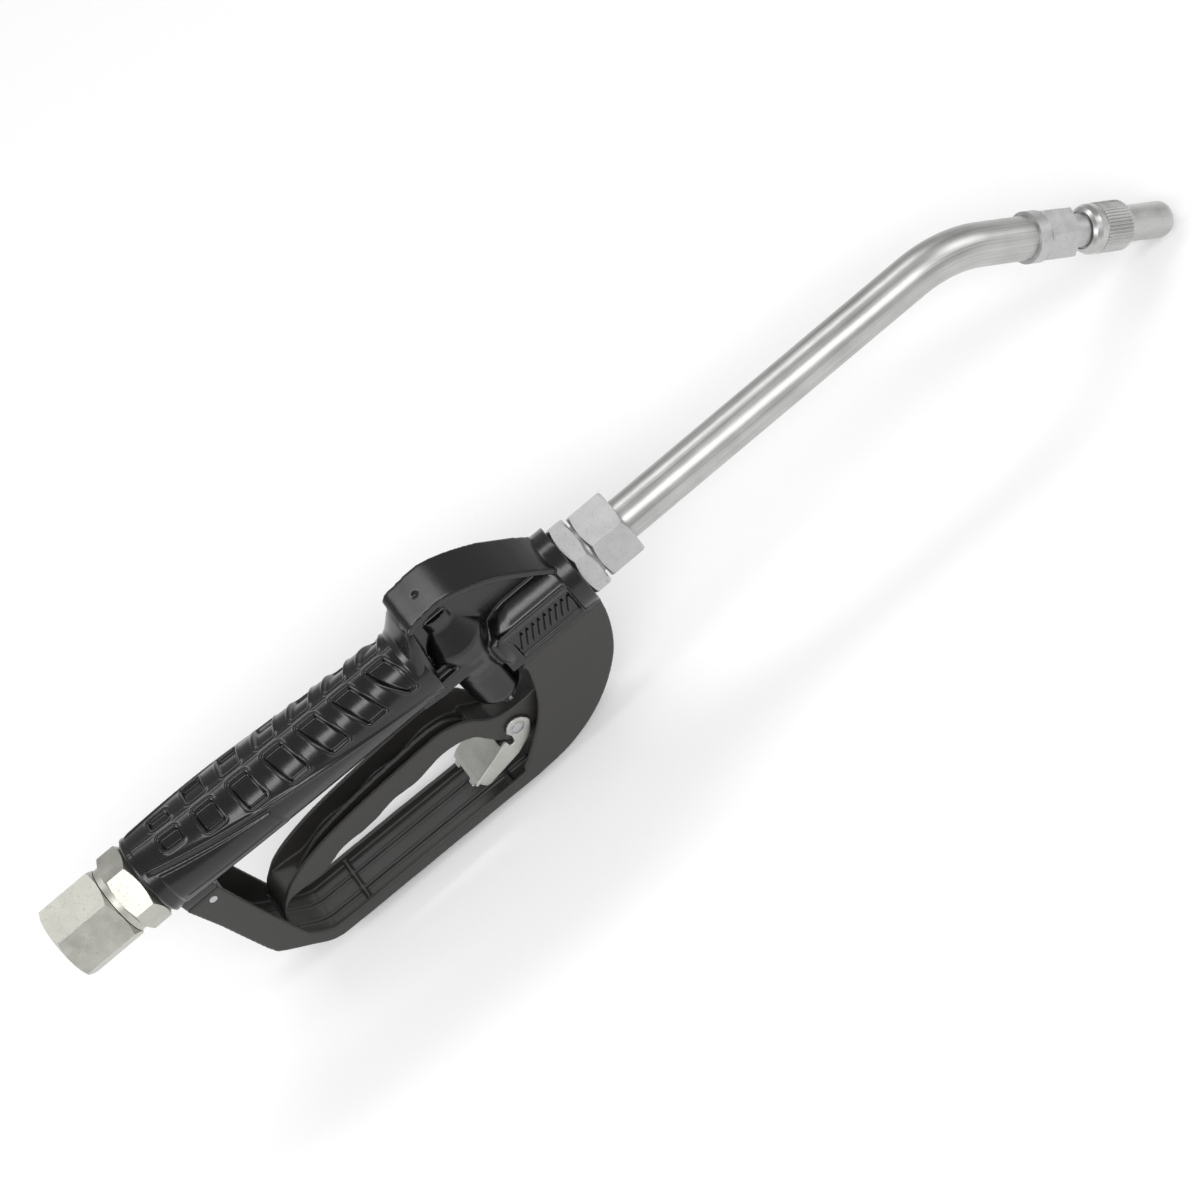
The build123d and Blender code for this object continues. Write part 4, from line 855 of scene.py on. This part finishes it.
def buildTip():
    r, a, b = tip["collarRadius"], tip["collarStart"], tip["collarEnd"]
    # collar: open mouth round the stub, coned shoulder, plain band, then the band under the knurl
    collar = [(a, 6.85), (a, 7.0), (a + 0.15, 7.2), (a + 0.9, 8.2), (a + 2.2, r - 0.25), (a + 2.8, r),
              (a + 5.4, r), (a + 5.8, r - 0.35), (b - 0.9, r - 0.35), (b - 0.5, r - 0.5), (b, r - 1.1),
              (b, 6.85), (b - 1.2, 6.8), (b - 1.2, 6.25), (a + 1.8, 6.25), (a + 1.8, 6.85)]
    piece = newPiece("tipCollar", [lathe(collar, (tip["x"], 0, tip["z"]), tipAxis, 180)])
    outward(piece)
    finish(piece, "collar", finishes["bright_plate"], ["tip_collar"], angle=15)
    tree = ringOfRidges(finishes["bright_plate"])
    ridges = grow("tipKnurl", tree, {"Ridges": tip["ridges"], "Radius": r - 0.42,
                                     "Start": tip["knurlStart"], "Length": b - 0.8 - tip["knurlStart"],
                                     "Ridge Width": tip["ridgeHalf"]})
    ridges.data.transform(tipPlace)
    finish(ridges, "collar", finishes["bright_plate"], ["tip_collar"], smooth=False)
    n, e = tip["noseRadius"], tip["noseEnd"]
    rounded = [(e - 3.6 + 3.6 * math.sin(t), n - 3.6 + 3.6 * math.cos(t)) for t in np.linspace(0, 1.35, 14)]
    nose = [(tip["noseStart"], 3.9), (tip["noseStart"], n)] + rounded + [(e - 0.05, 2.6), (e - 0.4, 2.4),
                                                                        (e - 4.4, 2.4), (e - 5.8, 3.9)]
    piece = newPiece("tipNose", [lathe(nose, (tip["x"], 0, tip["z"]), tipAxis, 128)])
    outward(piece)
    finish(piece, "nose", finishes["bright_plate"], ["tip_nose"], angle=32)


buildTip()

# stage, camera and lights
floorLevel = -0.0915


def buildStage():
    reach = 4000
    corners = [(-reach, -reach), (reach, -reach), (reach, reach), (-reach, reach)]
    floor = newPiece("floorSheet", [loft([[(x, y, z) for x, y in corners] for z in (-20.0, 0.0)])])
    floor.data.transform(Matrix.Scale(0.001, 4))
    floor.data.transform(Matrix.Translation((0.2, 0, floorLevel)))
    outward(floor)
    material, tree = startMaterial("whiteStudioFloor")
    surface(tree, {"Base Color": hexLinear("#f4f4f4"), "Roughness": 0.9}, {})
    floor.data.materials.append(material)


# the camera looks down on the near side, with the object turned up to the right
view = {"tilt": 53, "roll": 40, "lens": 93.0, "sensor": 36.0, "place": (0.21675, -0.6628, 0.8341)}


def buildCamera():
    tilt, roll = math.radians(view["tilt"]), math.radians(view["roll"])
    over = Vector((0, math.sin(tilt), math.cos(tilt)))
    back = Vector((0, -math.cos(tilt), math.sin(tilt)))
    right = Vector((1, 0, 0)) * math.cos(roll) - over * math.sin(roll)
    up = Vector((1, 0, 0)) * math.sin(roll) + over * math.cos(roll)
    data = bpy.data.cameras.new("viewCamera")
    data.lens, data.sensor_width = view["lens"], view["sensor"]
    data.clip_start, data.clip_end = 0.05, 30.0
    camera = bpy.data.objects.new("viewCamera", data)
    bpy.context.scene.collection.objects.link(camera)
    camera.matrix_world = Matrix.Translation(view["place"]) @ Matrix((right, up, back)).transposed().to_4x4()
    bpy.context.scene.camera = camera


def areaLight(name, place, target, width, height, power):
    data = bpy.data.lights.new(name, "AREA")
    data.shape, data.size, data.size_y, data.energy = "RECTANGLE", width, height, power
    light = bpy.data.objects.new(name, data)
    bpy.context.scene.collection.objects.link(light)
    light.location = place
    light.rotation_euler = (Vector(target) - Vector(place)).to_track_quat("-Z", "Y").to_euler()


# name, place, target, width, height in metres, power in watts
lights = {
    "world": 0.46, "exposure": 0.0,
    "soft": [
        ("frontBox", (0.05, -1.05, 1.15), (0.20, 0.0, -0.02), 1.7, 0.50, 14.0),
        ("overheadBox", (0.25, 0.80, 1.20), (0.20, 0.0, 0.0), 1.5, 0.30, 6.0),
        ("leftBox", (-1.25, -0.10, 0.60), (0.10, 0.0, -0.02), 0.5, 0.9, 8.0),
        ("rightBox", (1.50, -0.40, 0.70), (0.25, 0.0, -0.03), 0.5, 0.8, 5.0),
    ],
}


def buildLight():
    world = bpy.data.worlds.new("studioWorld")
    bpy.context.scene.world = world
    world.use_nodes = True
    world.node_tree.nodes["Background"].inputs[0].default_value = (1, 1, 1, 1)
    world.node_tree.nodes["Background"].inputs[1].default_value = lights["world"]
    for name, place, target, width, height, power in lights["soft"]:
        areaLight(name, place, target, width, height, power)
    bpy.context.scene.view_settings.view_transform = "Standard"
    bpy.context.scene.view_settings.exposure = lights["exposure"]


buildStage()
buildCamera()
buildLight()
print("stage, camera and lights ready")
